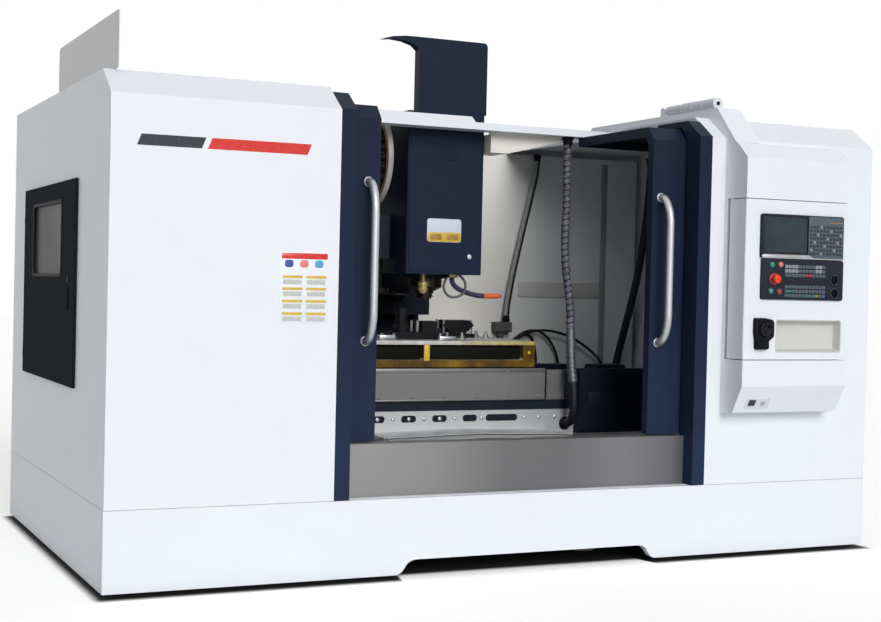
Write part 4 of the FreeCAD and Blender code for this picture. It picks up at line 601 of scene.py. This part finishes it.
# The hose bundle that hangs from the header down to the saddle.
line = route_line(BUNDLE_ROUTE)
places = stepped(line, 0.004)
WRAPPED, SLEEVED = 1080.0, 1370.0    # how far the wrap and the sleeve reach
WRAPPED_RADIUS, SLEEVED_RADIUS = 20.5, 23.5


def bundle_radius(far):
    """Plain under the wrap, thicker in the sleeve, ribbed at the lower end."""
    if far < WRAPPED:
        return WRAPPED_RADIUS
    if far < SLEEVED:
        return SLEEVED_RADIUS
    return 22.5 - 1.5 * cos(2 * pi * far / 14.0)


def hanging(name, slot, material):
    """What is on the canvas, as a piece on no body that hangs between header and saddle."""
    obj = piece(name, None, slot, material, smooth=60, replaced=["saddle_hose"])
    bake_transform(obj)
    return obj


swept(places, bundle_radius, 18)
bundle = hanging("saddle_bundle", "hose rubber", RUBBER)
helix([p for p in places if 40 < p[1] < WRAPPED + 8], WRAPPED_RADIUS, thick=4.0, width=25.0, pitch=34.0)
wrap = hanging("bundle_wrap", "hose rubber", WRAP)
swept([p for p in places if WRAPPED - 4 < p[1] < SLEEVED + 4],
      lambda far: SLEEVED_RADIUS + 1.5 - 1.2 * cos(2 * pi * far / 26.0), 18)
sleeve = hanging("bundle_sleeve", "steel", SLEEVE)
turned((700, -470, 2200), DOWN, [(24, 0), (34, 0.5), (34, 9), (28, 12), (27, 30), (23, 46)])
piece("bundle_collar", "machine", "black plastic")
turned((643, -606, 625), OUT, [(24, 0), (35, 0.5), (35, 8), (29, 11), (28, 20), (24.5, 28)])
piece("bundle_foot", "saddle", "black plastic")

# ------ door handles
HANDLE_LOW, HANDLE_HIGH = 1096, 1836
for side, x in (("left", -822), ("right", 790)):
    bow = [(-1272, HANDLE_LOW), (-1318, HANDLE_LOW), (-1367, 1185), (-1367, 1290)]
    bow += [(y, HANDLE_LOW + HANDLE_HIGH - z) for y, z in bow[::-1]]
    swept(stepped(route_line([(x / MM, y / MM, z / MM) for y, z in bow]), 0.008), 19, 20)
    studs([(x, DOOR_FRONT, z) for z in (HANDLE_LOW, HANDLE_HIGH)], OUT,
          [(24, 0), (24, 3), (22, 5), (19.5, 6), (19, 9)], 28)
    piece(side + "_bow_handle", side + "_door", "polished tube", smooth=50,
          replaced=[side + "_door_handle"])

# ------ operator station
STATION = ["control_panels"]
band("y", rounded((1180, 1703), (1537, 1762), 14), rounded((1196, 1474), (1570, 1748), 5),
     CONSOLE_FRONT, PANEL_FACE - 1)
slab("y", rounded((1188, 1708), (1330, 1536), 12), CONSOLE_FRONT, PANEL_FACE, 2)
piece("panel_frames", "console", "black plastic", PANEL, replaced=STATION)
slab("y", rounded((1198, 1472), (1572, 1746), 4), CONSOLE_FRONT, PANEL_FACE + 4)
piece("display", "console", "clear pane", SCREEN, replaced=STATION)
block((1478, 1700), (PANEL_FACE - 1.5, CONSOLE_FRONT), (1541, 1758), 1.5)
piece("keypad_plate", "console", "black plastic", KEY_GREY, replaced=STATION)


def keys(name, material, spots, wide=15, high=13):
    """Key caps of one colour, dished at the edges."""
    for x, z in spots:
        outline = rounded((x - wide / 2, x + wide / 2), (z - high / 2, z + high / 2), 2.5, 2)
        slab("y", outline, PANEL_FACE + 1, PANEL_FACE - 4, 1.5)
    piece(name, "console", "black plastic", material, replaced=STATION)


PAD_X = [1494 + 21 * k for k in range(10)]
PAD_Z = [1568 + 19.5 * k for k in range(9)]
PAD = [(x, z) for z in PAD_Z[:8] for x in PAD_X]
keys("keypad_yellow", AMBER, [(x, PAD_Z[-1] + 4) for x in PAD_X[6:]], 16, 7)
keys("keypad_pale", KEY_LIGHT, PAD[3::7])
keys("keypad_dark", KEY_DARK, [spot for spot in PAD if spot not in PAD[3::7]])
ROW_X = [1342 + 21.5 * k for k in range(12)]
ROW_Z = [1352, 1374, 1396, 1455, 1477, 1499]
GRID = [(x, z) for z in ROW_Z for x in ROW_X]
LIGHT_SPOTS = [(x, z) for x, z in GRID if z > 1460 and (x <= ROW_X[3] or ROW_X[8] < x < ROW_X[11])]
COLOURED = [("panel_light_keys", KEY_LIGHT, LIGHT_SPOTS, 19, 18),
            ("panel_red_keys", CRIMSON, [(ROW_X[6], 1455), (ROW_X[7], 1455)], 19, 13),
            ("panel_yellow_keys", AMBER, [(ROW_X[9], 1352)], 17, 12),
            ("panel_teal_keys", TEAL, [(ROW_X[1], 1374), (ROW_X[7], 1352)], 17, 12)]
for caps in COLOURED:
    keys(*caps)
USED = [spot for caps in COLOURED for spot in caps[2]]
keys("panel_keys", KEY_GREY, [spot for spot in GRID if spot not in USED], 19, 17)
outline = [(1186, 1538), (1700, 1538), (1700, 1545), (1512, 1545), (1478, 1559), (1198, 1559), (1186, 1552)]
slab("y", outline, PANEL_FACE, PANEL_FACE - 5, 1.2)
piece("silver_strip", "console", "steel", replaced=STATION)


def collar(x, z, profile, sides):
    """A closed ring on the station's face from (radius, distance out) pairs."""
    loft([[(x + r * u, PANEL_FACE - out, z + r * v) for u, v in circle(sides)] for r, out in profile],
         closed=True)


BUTTONS = [("start_cap", "start_button", "green plastic", TEAL, 1246, 1373),
           ("hold_cap", "hold_button", "red plastic", CRIMSON, 1299, 1371),
           ("power_on_cap", "power_on_button", "green plastic", GREEN, 1251, 1506),
           ("power_off_cap", "power_off_button", "red plastic", ROSE, 1304, 1508)]
for name, node, slot, material, x, z in BUTTONS:
    turned((x, PANEL_FACE, z), OUT,
           [(12.6, -1), (12.6, 5.5), (11.8, 7.2), (9.5, 8.4), (5, 9.4), (1, 9.8)], 32)
    piece(name, node, slot, material, smooth=50, replaced=[node])
for *_, x, z in BUTTONS:
    collar(x, z, ((18, -0.5), (18, 2), (16.5, 3.5), (13.4, 3.5), (13.4, -0.5)), 28)
piece("button_bezels", "console", "black plastic", KEY_DARK, smooth=50)
STOP_X, STOP_Z = 1269, 1434
# The guard collar is a darker red than the mushroom: painted shade, for the collar lying in the mushroom's
# shadow.
collar(STOP_X, STOP_Z, ((30, -0.5), (30, 1.5), (28, 2.5), (12, 2.5), (12, -0.5)), 32)
piece("stop_collar", "console", "red plastic", CRIMSON, smooth=50)
turned((STOP_X, PANEL_FACE, STOP_Z), OUT,
       [(10.5, -2), (10.5, 13), (17, 15), (21, 18), (22.5, 22), (21.5, 27), (18, 31), (11, 33.4),
        (2, 34)], 40)
piece("stop_mushroom", "emergency_stop", "red plastic", STOP_RED, smooth=50, replaced=["emergency_stop"])

# Ribbed selector knobs with a grip bar, and the marks round them.
SELECTORS = [("feed_selector", "feed_knob", 1652, 1437), ("spindle_selector", "spindle_knob", 1654, 1368)]
for name, node, x, z in SELECTORS:
    turned((x, PANEL_FACE, z), OUT, [(19, 0.3), (19, 5), (17, 8), (15, 9.2), (2, 9.5)], 40)
    block((x - 5, x + 5), (PANEL_FACE - 22, PANEL_FACE - 7), (z - 16, z + 16), 2.5, 3)
    studs([(x + u, PANEL_FACE - 1, z + v) for u, v in circle(20, 19.4)], OUT,
          [(1.6, 0), (1.6, 5), (0.8, 6)], 6)
    piece(name, node, "black plastic", smooth=50, replaced=[node])
for *_, x, z in SELECTORS:
    for turn in range(-60, 241, 30):
        u, v = x + 25 * cos(radians(turn)), z + 25 * sin(radians(turn))
        block((u - 1, u + 1), (PANEL_FACE - 0.6, PANEL_FACE + 0.4), (v - 1, v + 1), 0.3, 1)
piece("dial_marks", "console", "pale plastic")

# The handwheel with its finger knob and rim notches.
turned((1212, PENDANT_FACE, 1178), OUT, [(35, 0.3), (36.5, 2), (36.5, 10), (34, 13), (24, 13.8), (22, 12.2),
                                         (10, 12.2), (8, 14), (1, 14)], 48)
turned((1234, PENDANT_FACE - 13, 1192), OUT, [(6, 0), (7.2, 1), (7.2, 9), (6, 11.5), (2, 12)], 20)
studs([(1212 + u, PENDANT_FACE - 2, 1178 + v) for u, v in circle(30, 36.6)], OUT,
      [(1.7, 0), (1.7, 8), (0.8, 9)], 6)
piece("pulse_wheel", "handwheel", "black plastic", DARK, smooth=50, replaced=["handwheel"])
outline = [(1158, 1236), (1152, 1226), (1152, 1160), (1158, 1130), (1160, 1084), (1168, 1077), (1228, 1077),
           (1236, 1084), (1240, 1120), (1268, 1140), (1270, 1150), (1270, 1215), (1258, 1228), (1214, 1236)]
slab("y", outline, CONSOLE_FRONT, PENDANT_FACE, 3)
slab("y", rounded((1163, 1233), (1080, 1112), 8), PENDANT_FACE + 1, PENDANT_FACE - 10, 3)
turned((1178, PENDANT_FACE, 1222), OUT, [(8, -1), (8, 6), (5, 9)], 16)
turned((1208, PENDANT_FACE, 1222), OUT, [(5, -1), (5, 4), (3, 5)], 16)
piece("pendant_body", "console", "black plastic", replaced=STATION)

# A lining for the tray recess: how far in, how deep and which corner radius, from the floor out.
TRAY_LEVELS = [(30, 53, 6), (27, 52, 7), (16, 44, 9), (9, 22, 10), (6, 0, 10), (3, -2.5, 11), (0, -1.5, 12)]
rings = [[Vector((u, CONSOLE_FRONT + deep, v))
          for u, v in rounded((1294 + by, 1712 - by), (1062 + by, 1230 - by), radius)]
         for by, deep, radius in TRAY_LEVELS]
loft(rings + [[place + Vector((0, 1.5, 0)) for place in ring] for ring in rings[::-1]])
piece("tray_liner", "console", "cream paint", TRAY)


def slanted(name, slot, material, x, share, wide, high, out):
    """A rounded plate on the shelf's slanted face; share is the way down it."""
    top, foot = Vector((0, CONSOLE_FRONT, 890)), Vector((0, FRONT - 108, 754))
    down = (foot - top).normalized()
    normal = Vector((0, down.z, -down.y))
    corners = [(-1, -0.8), (-0.9, -1), (0.9, -1), (1, -0.8), (1, 0.8), (0.9, 1), (-0.9, 1), (-1, 0.8)]
    loft([[Vector((x + u * (wide / 2 + grow), 0, 0)) + top.lerp(foot, share) + down * v * (high / 2 + grow)
           + normal * far for u, v in corners] for grow, far in ((0, -0.5), (0, out - 1), (-1, out))])
    piece(name, "machine", slot, material)


slanted("socket_plate", "pale plastic", PALE, 1230, 0.66, 150, 62, 2)
slanted("socket", "black plastic", KEY_DARK, 1192, 0.62, 40, 34, 6)
slanted("socket_cap", "grey paint", GREY, 1262, 0.66, 28, 24, 4)

# ------ head and spindle
slab("y", rounded((-110, 94), (1596, 1722), 16), HEAD_FACE, -387, 0.8)
piece("head_plate", "head", "pale plastic", LABEL)
slab("y", rounded((-108, 92), (1598, 1649), 14), -386.5, -388, 0.5)
piece("head_plate_lower", "head", "machined iron", YELLOW)
for x in ((-90, -22), (6, 74)):
    slab("y", rounded(x, (1608, 1640), 4), -387.5, -389, 0.4)
piece("head_plate_blocks", "head", "machined iron", AMBER)
turned((149, HEAD_FACE, 1521), OUT, [(15, 0), (15, 2), (12, 4.5), (11, 4.5), (10, 3.2), (1, 3.2)])
piece("head_lock", "head", "steel", CHROME, smooth=50)
studs([(x, HEAD_FACE, z) for x in (-203, 188) for z in (1452, 1800, 2156)], OUT,
      [(6, 0), (6, 2), (4.5, 3.4), (1, 3.8)], 14)
for z in range(2040, 2125, 14):
    block((-120, 60), (-388, HEAD_FACE), (z, z + 5), 1)
piece("head_vents", "head", "navy paint")

NOZZLE_ROUTE = [(0.085, -0.3, 1.405), (0.085, -0.3, 1.38), (0.12, -0.3, 1.345), (0.198, -0.3, 1.318),
                (0.28, -0.3, 1.306), (0.368, -0.3, 1.31)]
PIPE_ROUTE = [(0.07, -0.3, 1.425), (0.04, -0.318, 1.4), (0.022, -0.322, 1.35), (0.048, -0.326, 1.305),
              (0.1, -0.326, 1.296), (0.152, -0.324, 1.32), (0.166, -0.318, 1.372), (0.14, -0.306, 1.418),
              (0.104, -0.3, 1.432)]
LINK = 16.0
nozzle = stepped(route_line(NOZZLE_ROUTE), 0.002)


def link_radius(far):
    """Ball and socket links of a positioned coolant hose."""
    return 12.0 + 2.6 * abs(sin(pi * far / LINK)) ** 0.6


swept([p for p in nozzle if p[1] < 238], link_radius, 16)
piece("nozzle_links", "head", "hose rubber", VIOLET, smooth=60)
swept([p for p in nozzle if p[1] > 230], link_radius, 16)
turned((362, -300, 1309.7), RIGHT, [(12.5, 0), (13.5, 3), (12.5, 12), (9, 24), (7.4, 33), (6.4, 34)], 18)
piece("nozzle_tip", "head", "red plastic", ORANGE, smooth=60)
swept(stepped(route_line(PIPE_ROUTE), 0.0022), ribbed(7.5, 9.0, 1.6), 14)
piece("coolant_pipe", "head", "steel", SLEEVE, smooth=60)
turned((-60, -238, 1384), DOWN,
       [(22, 0), (29, 4), (29, 24), (24, 27), (24, 36), (28, 39), (27, 50), (13, 68)])
turned((-60, -238, 1380), UP, [(16, 0), (16, 44)], 16)
block((62, 108), (-321.5, -318.5), (1408, 1457), 1)
piece("nozzle_block", "head", "machined iron", BRASS, smooth=50)
for r, low, high in ((52, 1319.5, 1325), (60, 1336, 1342), (72, 1352, 1358)):
    turned((0, -130, low), UP, [(r - 3, 0), (r + 1, 1), (r + 1, high - low - 1), (r - 3, high - low)], 48)
studs([(u, v - 130, 1399) for u, v in circle(6, 86)], DOWN, [(7, 0), (7, 11), (5, 13)], 6)
piece("spindle_rings", "spindle", "steel", NOSE, smooth=50)

# ------ tool magazine
MAGAZINE = Vector((-330, -130, 2040))
DISC = ["magazine_disc"]
POTS = 24


def wheel_ring(*levels):
    """A closed ring about the magazine's axis from (radius, x) pairs."""
    loft([[MAGAZINE + Vector((x, u, v)) for u, v in circle(96, r)] for r, x in levels], closed=True)


wheel_ring((232, -14), (258, -15), (262, -11), (262, 11), (258, 15), (232, 15), (228, 11), (228, -10))
piece("magazine_rim", "magazine", "grey paint", RING, smooth=45, replaced=DISC)
for side in (1, -1):
    wheel_ring((231.8, side * 15.5), (236, side * 16.5), (240, side * 15.5), (240, side * 14),
               (231.8, side * 14))
piece("magazine_edge", "magazine", "machined iron", AMBER, smooth=45, replaced=DISC)
turned(MAGAZINE + Vector((-4, 0, 0)), RIGHT, [(229, 0), (229, 8)], 72)
turned(MAGAZINE + Vector((-102, 0, 0)), RIGHT, [(62, 0), (62, 96), (70, 98), (70, 106), (40, 110), (38, 118),
                                                (6, 120)], 36)
turned(MAGAZINE + Vector((-162, 0, 0)), RIGHT, [(29.5, 0), (29.5, 62)], 32)
studs([MAGAZINE + Vector((8, u, v)) for u, v in circle(6, 54)], RIGHT, [(6, 0), (6, 5), (3, 6)], 6)
piece("magazine_plate", "magazine", "grey paint", replaced=DISC)
POT_PLACES = [MAGAZINE + Vector((-96, v, u)) for u, v in circle(POTS, 200)]
studs(POT_PLACES, RIGHT,
      [(18, 0), (24, 1), (25.5, 4), (25.5, 30), (23, 33), (23, 84), (25.5, 87), (25.5, 114), (23, 118),
       (14, 118), (12, 100), (2, 99)], 22)
piece("tool_pots", "magazine", "black plastic", smooth=50, replaced=DISC)
studs(POT_PLACES, LEFT, [(16, -1), (16, 3), (11, 5), (9, 9), (6, 10)], 14)
piece("tool_pot_ends", "magazine", "steel", smooth=50, replaced=DISC)

# ------ table, saddle and chamber
# Near-black floors in the table's pockets: painted shade of the deep recesses.
for low, high in ((-1277, -803), (-766, -212), (-175, 379)):
    slab("y", rounded((low + 1.5, high - 1.5), (971.5, 1048.5), 22), -574.2, -576.5, 1)
piece("pocket_floors", "table", "dark steel", POCKET_SHADE)
block((-1347, 449), (-603, TABLE_FRONT), (1050, TABLE_TOP + 1), 2)
piece("table_lip", "table", "machined iron", LIP)
# The rib between the pockets is amber film painted a brighter yellow, a painted highlight on the real film;
# the three bosses share that yellow.
block((-209, -178), (-603, TABLE_FRONT), (966, 1050), 3)
studs([(x, TABLE_FRONT, 1010) for x in (-1310, -785, 415)], OUT, [(8, 0), (8, 3), (5, 4)], 20)
piece("table_lit_amber_bits", "table", "machined iron", YELLOW)
studs([(x, y, 1150) for xs, ys in (((-150, -34), (-305, -382)), ((132, 298), (-118, -22)))
       for y in ys for x in xs], UP, [(10, -60), (10, 18), (8, 20)], 6)
studs([(x, y, TABLE_TOP) for x, y in ((-330, -480), (-400, -480), (-60, -480), (60, -315), (150, -315),
                                      (380, -150), (400, 15))],
      UP, [(24, 0), (24, 5), (15, 5.5), (15, 18), (9, 18.5), (9, 34), (7, 36)], 6)
block((-420, -330), (-500, -462), (1070, 1096), 3)
block((-70, 30), (-496, -466), (1070, 1090), 3)
piece("clamp_studs", "table", "steel")
SMALL_SCREW = [(7, -0.5), (7, 2), (5, 4), (1, 4.4)]
studs([(x, STRIP_FACE, 662)
       for x in (-650, -559, -470, -381, -292, -203, -114, -25, 132, 390, 480, 580, 660)],
      OUT, [(11, -0.5), (11, 3), (8, 6), (2, 7)], 18)
studs([(x, -622, z) for x in range(-470, 481, 188) for z in (775, 908)], OUT, SMALL_SCREW, 14)
studs([(x, -612, z) for x in (545, 612) for z in (775, 900)], OUT, SMALL_SCREW, 14)
piece("apron_screws", "saddle", "stainless sheet", smooth=50)
block((-498, 504), (-625, -621.5), (905, 926), 1)
block((-498, 504), (-626, -621.5), (757, 764), 1)
piece("apron_hems", "saddle", "stainless sheet")
studs([(x, -660, z) for x in range(720, 1101, 76) for z in (600, 900)], OUT,
      [(6, -0.5), (6, 2), (4, 3.6)], 12)
block((760, 1060), (-662, -659.5), (700, 800), 2)
piece("hood_cover", "saddle", "casting")
for x in (-1560, -960, 1752):
    block((x - 20, x + 20), (844, 856), (580, 2190), 3)
piece("wall_joints", "machine", "white paint", JOINT)
# A slightly darker band across the back wall: a painted shadow, not a rail.
block((1120, 1729), (845, 856), (1300, 1398), 3)
piece("wall_shadow_band", "machine", "white paint", WALL_SHADOW_BAND)
studs([(x, -440, z) for x, z in ((252, 2112), (252, 2184), (470, 2184), (688, 2184))], OUT,
      [(5, -0.5), (5, 3), (3, 4)], 12)
piece("work_lamp_screws", "machine", "cream paint")

# ------ outer skin details
block((-933, 933), (-1361, -1319), (366, SKIRT_TOP + 1.4), 0.6)
for side in (-1, 1):
    face = side * (HALF_WIDTH + 1.2)
    block(sorted((face, side * (HALF_WIDTH - 4))), (-1399, -1352), (SKIRT_LOW + 1, SKIRT_TOP - 1), 0.5)
    slab("x", [(-1399, CHAMFER_LOW - 80), (-1352, CHAMFER_LOW - 80), (-1345, CHAMFER_LOW - 20),
               (-1215, ROOF - 62), (-1100, ROOF - 62), (-1100, ROOF - 1), (CHAMFER_BACK, ROOF - 1),
               (-1399, CHAMFER_LOW)], face - side * 1.8, face)
piece("joint_covers", "machine", "white paint")


def bend(first, corner, last, steps=8):
    """Points of a quadratic curve between two places, pulled towards a corner."""
    return [tuple(a * (1 - t) ** 2 + 2 * c * t * (1 - t) + b * t * t for a, c, b in zip(first, corner, last))
            for t in (k / steps for k in range(steps + 1))]


for side, x in ((-1, -632), (1, 662)):
    curve = bend((x + side * 23, 47), (x, 88), (x - side * 62, 88))
    slab("y", curve + [(x - side * 62, 90), (x + side * 2, 90), (x + side * 25, 48)], FRONT + 3, FRONT + 0.4)
    lip = bend((x + side * 58, 20), (x + side * 30, 30), (x + side * 23, 47), 5) + curve[1:]
    loft([[Vector((u + side * off, y, v + off))
           for y, off in ((FRONT + 0.4, 0), (FRONT + 40, 0), (FRONT + 40, 2), (FRONT + 0.4, 2))]
          for u, v in lip])
piece("fork_notch_lips", "machine", "white paint")

slab("y", [(-1938, 1930), (-1655, 1930), (-1636, 1978), (-1919, 1978)], FRONT + 0.5, FRONT - 1)
piece("front_stripe_dark", "machine", "black plastic", KEY_DARK)
slab("y", [(-1628, 1930), (-1171, 1930), (-1152, 1978), (-1609, 1978)], FRONT + 0.5, FRONT - 1)
slab("y", rounded((-1282, -1065), (1466, 1492), 4), FRONT - 1.5, FRONT - 2.6, 0.4)
piece("front_stripe_red", "machine", "red plastic")
slab("y", rounded((-1290, -1058), (1184, 1497), 8), FRONT + 0.5, FRONT - 2, 0.5)
piece("info_plate", "machine", "white paint")
for name, x, material in (("info_field_blue", -1247, BLUE_INK), ("info_field_rose", -1176, ROSE),
                          ("info_field_sky", -1105, SKY_INK)):
    slab("y", rounded((x - 20, x + 20), (1428, 1462), 12), FRONT - 1.5, FRONT - 2.6, 0.3)
    piece(name, "machine", "pale plastic", material)
CELLS = [(x, z) for z in (1380, 1327, 1272, 1216) for x in (-1282, -1170)]
for x, z in CELLS:
    slab("y", rounded((x + 4, x + 100), (z, z + 12), 2), FRONT - 1.5, FRONT - 2.6, 0.3)
piece("info_bars", "machine", "machined iron", YELLOW)
for x, z in CELLS:
    slab("y", rounded((x + 8, x + 96), (z - 27, z - 6), 3), FRONT - 1.5, FRONT - 2.4, 0.3)
piece("info_panels", "machine", "pale plastic", FIELD)

LAMP_X, LAMP_Z = 1160, 2347
turned((LAMP_X, -1224.5, LAMP_Z), OUT, [(30.4, -10), (31, -8), (31, 1), (29, 3.5), (22, 4.5), (12, 4.5)], 36)
studs([(LAMP_X, y, LAMP_Z) for y in (-1120, -1020, -925)], OUT,
      [(30.6, -3), (31.4, -2), (31.4, 2), (30.6, 3)], 36)
piece("lamp_rings", "signal_lamp", "pale plastic", smooth=50)
turned((LAMP_X, -1228.6, LAMP_Z), OUT, [(11, 0), (11, 0.8), (9, 1.2)], 24)
piece("lamp_eye", "signal_lamp", "black plastic")

band("x", rounded((-465, 287), (1361, 1733), 34, 6), rounded((-450, 272), (1376, 1718), 26, 6),
     SIDE_FACE + 1, SIDE_FACE - 3)
piece("side_window_gasket", "side_door", "black plastic")
turned((SIDE_FACE, -635, 1352), LEFT, [(13, -1), (13, 3), (10, 5), (3, 5)], 20)
piece("side_door_lock", "side_door", "steel", DARK)
for body, low, high in (("left_door", -1617, -1089), ("right_door", 1066, 1594)):
    band("y", rounded((low - 14, high + 14), (1138, 1962), 34, 6),
         rounded((low + 4, high - 4), (1150, 1950), 26, 6), DOOR_FRONT + 1, DOOR_FRONT - 3)
    piece(body + "_gasket", body, "black plastic")

# ------ rear
for first in (330, 1690):
    for z in range(first, first + 177, 22):
        loft([[(x, CABINET_FACE, z), (x, CABINET_FACE, z + 15), (x, 1510, z + 13), (x, 1514, z + 2)]
              for x in (960, 1500)])
piece("cabinet_louvres", "cabinet_door", "grey paint")
studs([(x, CABINET_FACE, z) for x in (720, 1880) for z in (180, 700, 1500, 2020)], REAR,
      [(7, 0), (7, 2), (5, 4)], 14)
piece("cabinet_screws", "cabinet_door", "steel")
for x in (760, 1830):
    for y in (1010, 1420):
        turned((x, y, 2049), UP, [(20, 0), (20, 6), (11, 8), (11, 16)], 20)
        loft([[Vector((x + (20 + u) * across, y + v, 2082 + (20 + u) * up)) for u, v in circle(10, 7)]
              for across, up in circle(24)], closed=True)
piece("lifting_eyes", "machine", "steel", smooth=50)
block((-1500, -1460), (1629, 1633), (140, 400), 2)
block((-1850, -1250), (1040, 1600), (475, 481), 2)
for x in (-1720, -1380):
    block((x, x + 12), (1300, 1312), (480, 506), 2)
    block((x, x + 12), (1400, 1412), (480, 506), 2)
    block((x, x + 12), (1300, 1412), (502, 512), 3)
piece("tank_fittings", "machine", "steel")
studs([(-850, 1220, z) for z in range(560, 731, 17)], UP, [(70, 0), (92, 1), (92, 5), (70, 6)], 40)
block((-900, -800), (1290, 1335), (640, 730), 5)
piece("pump_fins", "machine", "dark steel")
studs([(x, COLUMN_BACK, z) for x in (-285, 285) for z in range(700, 2301, 200)], REAR,
      [(14, 0), (14, 9), (11, 11)], 6)
piece("column_bolts", "machine", "dark steel")
studs([(x, y, 24) for x in (-560, 560) for y in (-960, -150, 660, 1440)], UP,
      [(36, 0), (36, 13), (32, 15)], 6)
piece("foot_nuts", "machine", "steel")

# ------ floor, light and camera
def shown_factor(tree):
    """1 for camera, glossy and transmission rays, else 0."""
    rays = add(tree, "ShaderNodeLightPath").outputs
    seen = worked(tree, "MAXIMUM", rays["Is Camera Ray"], rays["Is Glossy Ray"])
    return worked(tree, "MAXIMUM", seen, rays["Is Transmission Ray"])


def soft(tree, value, low, high, to_low=0.0, to_high=1.0):
    """A value mapped smoothly from one range to another."""
    return ranged(tree, value, low, high, to_low, to_high, "SMOOTHSTEP")


FLOOR_REACH = 40.0
floor_mesh = bpy.data.meshes.new("floor")
corners = [(x * FLOOR_REACH, y * FLOOR_REACH, 0) for x, y in ((-1, -1), (1, -1), (1, 1), (-1, 1))]
floor_mesh.from_pydata(corners, [], [(0, 1, 2, 3)])
floor = bpy.data.objects.new("floor", floor_mesh)
scene.collection.objects.link(floor)
material, tree, bsdf = shader("floor")
# The floor darkens under the machine, where a real floor gets no light.
place = parted(tree, "Object")
from_notch = worked(tree, "ABSOLUTE", worked(tree, "SUBTRACT", place["X"], 0.015))
notch = soft(tree, from_notch, 0.655, 0.7, 0.125, 0.0)
behind = soft(tree, worked(tree, "SUBTRACT", place["Y"], notch), -1.48, -1.4)
inside = soft(tree, worked(tree, "ABSOLUTE", place["X"]), 2.05, 2.11, 1.0, 0.0)
before = soft(tree, place["Y"], 0.93, 1.000, 1.0, 0.0)
under = worked(tree, "MULTIPLY", worked(tree, "MULTIPLY", behind, inside), before)
open_floor = worked(tree, "MULTIPLY", shown_factor(tree), worked(tree, "SUBTRACT", 1.0, under))
fill(tree, bsdf, Base_Color=mixed(tree, under, (0.8, 0.8, 0.8, 1), (0.003, 0.003, 0.003, 1)), Roughness=0.9,
     Emission_Color=(1, 1, 1, 1), Emission_Strength=worked(tree, "MULTIPLY", open_floor, 0.42))
floor_mesh.materials.append(material)

world = bpy.data.worlds.new("studio")
scene.world = world
world.use_nodes = True
tree = world.node_tree
sky = fill(tree, tree.nodes["Background"], Color=(1, 1, 1, 1), Strength=0.27)
white = add(tree, "ShaderNodeBackground", Color=(1, 1, 1, 1), Strength=1.0)
mix = add(tree, "ShaderNodeMixShader", Fac=shown_factor(tree))
for place, background in ((1, sky), (2, white)):
    tree.links.new(background.outputs["Background"], mix.inputs[place])
tree.links.new(mix.outputs["Shader"], tree.nodes["World Output"].inputs["Surface"])


def lamp(name, kind, towards, strength):
    """A lamp that shines towards a direction."""
    data = bpy.data.lights.new(name, kind)
    data.energy = strength
    holder = bpy.data.objects.new(name, data)
    holder.rotation_euler = Vector(towards).to_track_quat("-Z", "Y").to_euler()
    scene.collection.objects.link(holder)
    return holder


lamp("front light", "SUN", (0.08, 1.0, -0.42), 2.2).data.angle = radians(30)
lamp("top light", "SUN", (0.1, 0.15, -1.0), 0.25).data.angle = radians(40)
work_light = lamp("work light", "SPOT", (0.4, 1.3, -0.92), 12.0)
work_light.data.shadow_soft_size = 0.12
work_light.data.spot_size = radians(72)
work_light.data.spot_blend = 1.0
work_light.location = (0.75, -0.45, 2.05)
work_light.visible_camera = False
work_light.visible_glossy = False

YAW, PITCH, ROLL = radians(25.30097), radians(-1.01576), radians(1.33445)
CAMERA_PLACE = (-3.4573, -7.6601, 1.3662)
flat = Vector((sin(YAW), cos(YAW), 0))
right = Vector((cos(YAW), -sin(YAW), 0))
up = Vector((0, 0, 1))
ahead = flat * cos(PITCH) + up * sin(PITCH)
up = up * cos(PITCH) - flat * sin(PITCH)
rolled_right = right * cos(ROLL) + up * sin(ROLL)
rolled_up = up * cos(ROLL) - right * sin(ROLL)
camera_data = bpy.data.cameras.new("camera")
camera_data.sensor_width = 36.0
camera_data.lens = 60.755
camera_data.clip_end = 200.0
camera = bpy.data.objects.new("camera", camera_data)
camera.matrix_world = (Matrix.Translation(CAMERA_PLACE)
                       @ Matrix((rolled_right, rolled_up, -ahead)).transposed().to_4x4())
scene.collection.objects.link(camera)
scene.camera = camera
scene.view_settings.view_transform = "Standard"
scene.view_settings.look = "None"
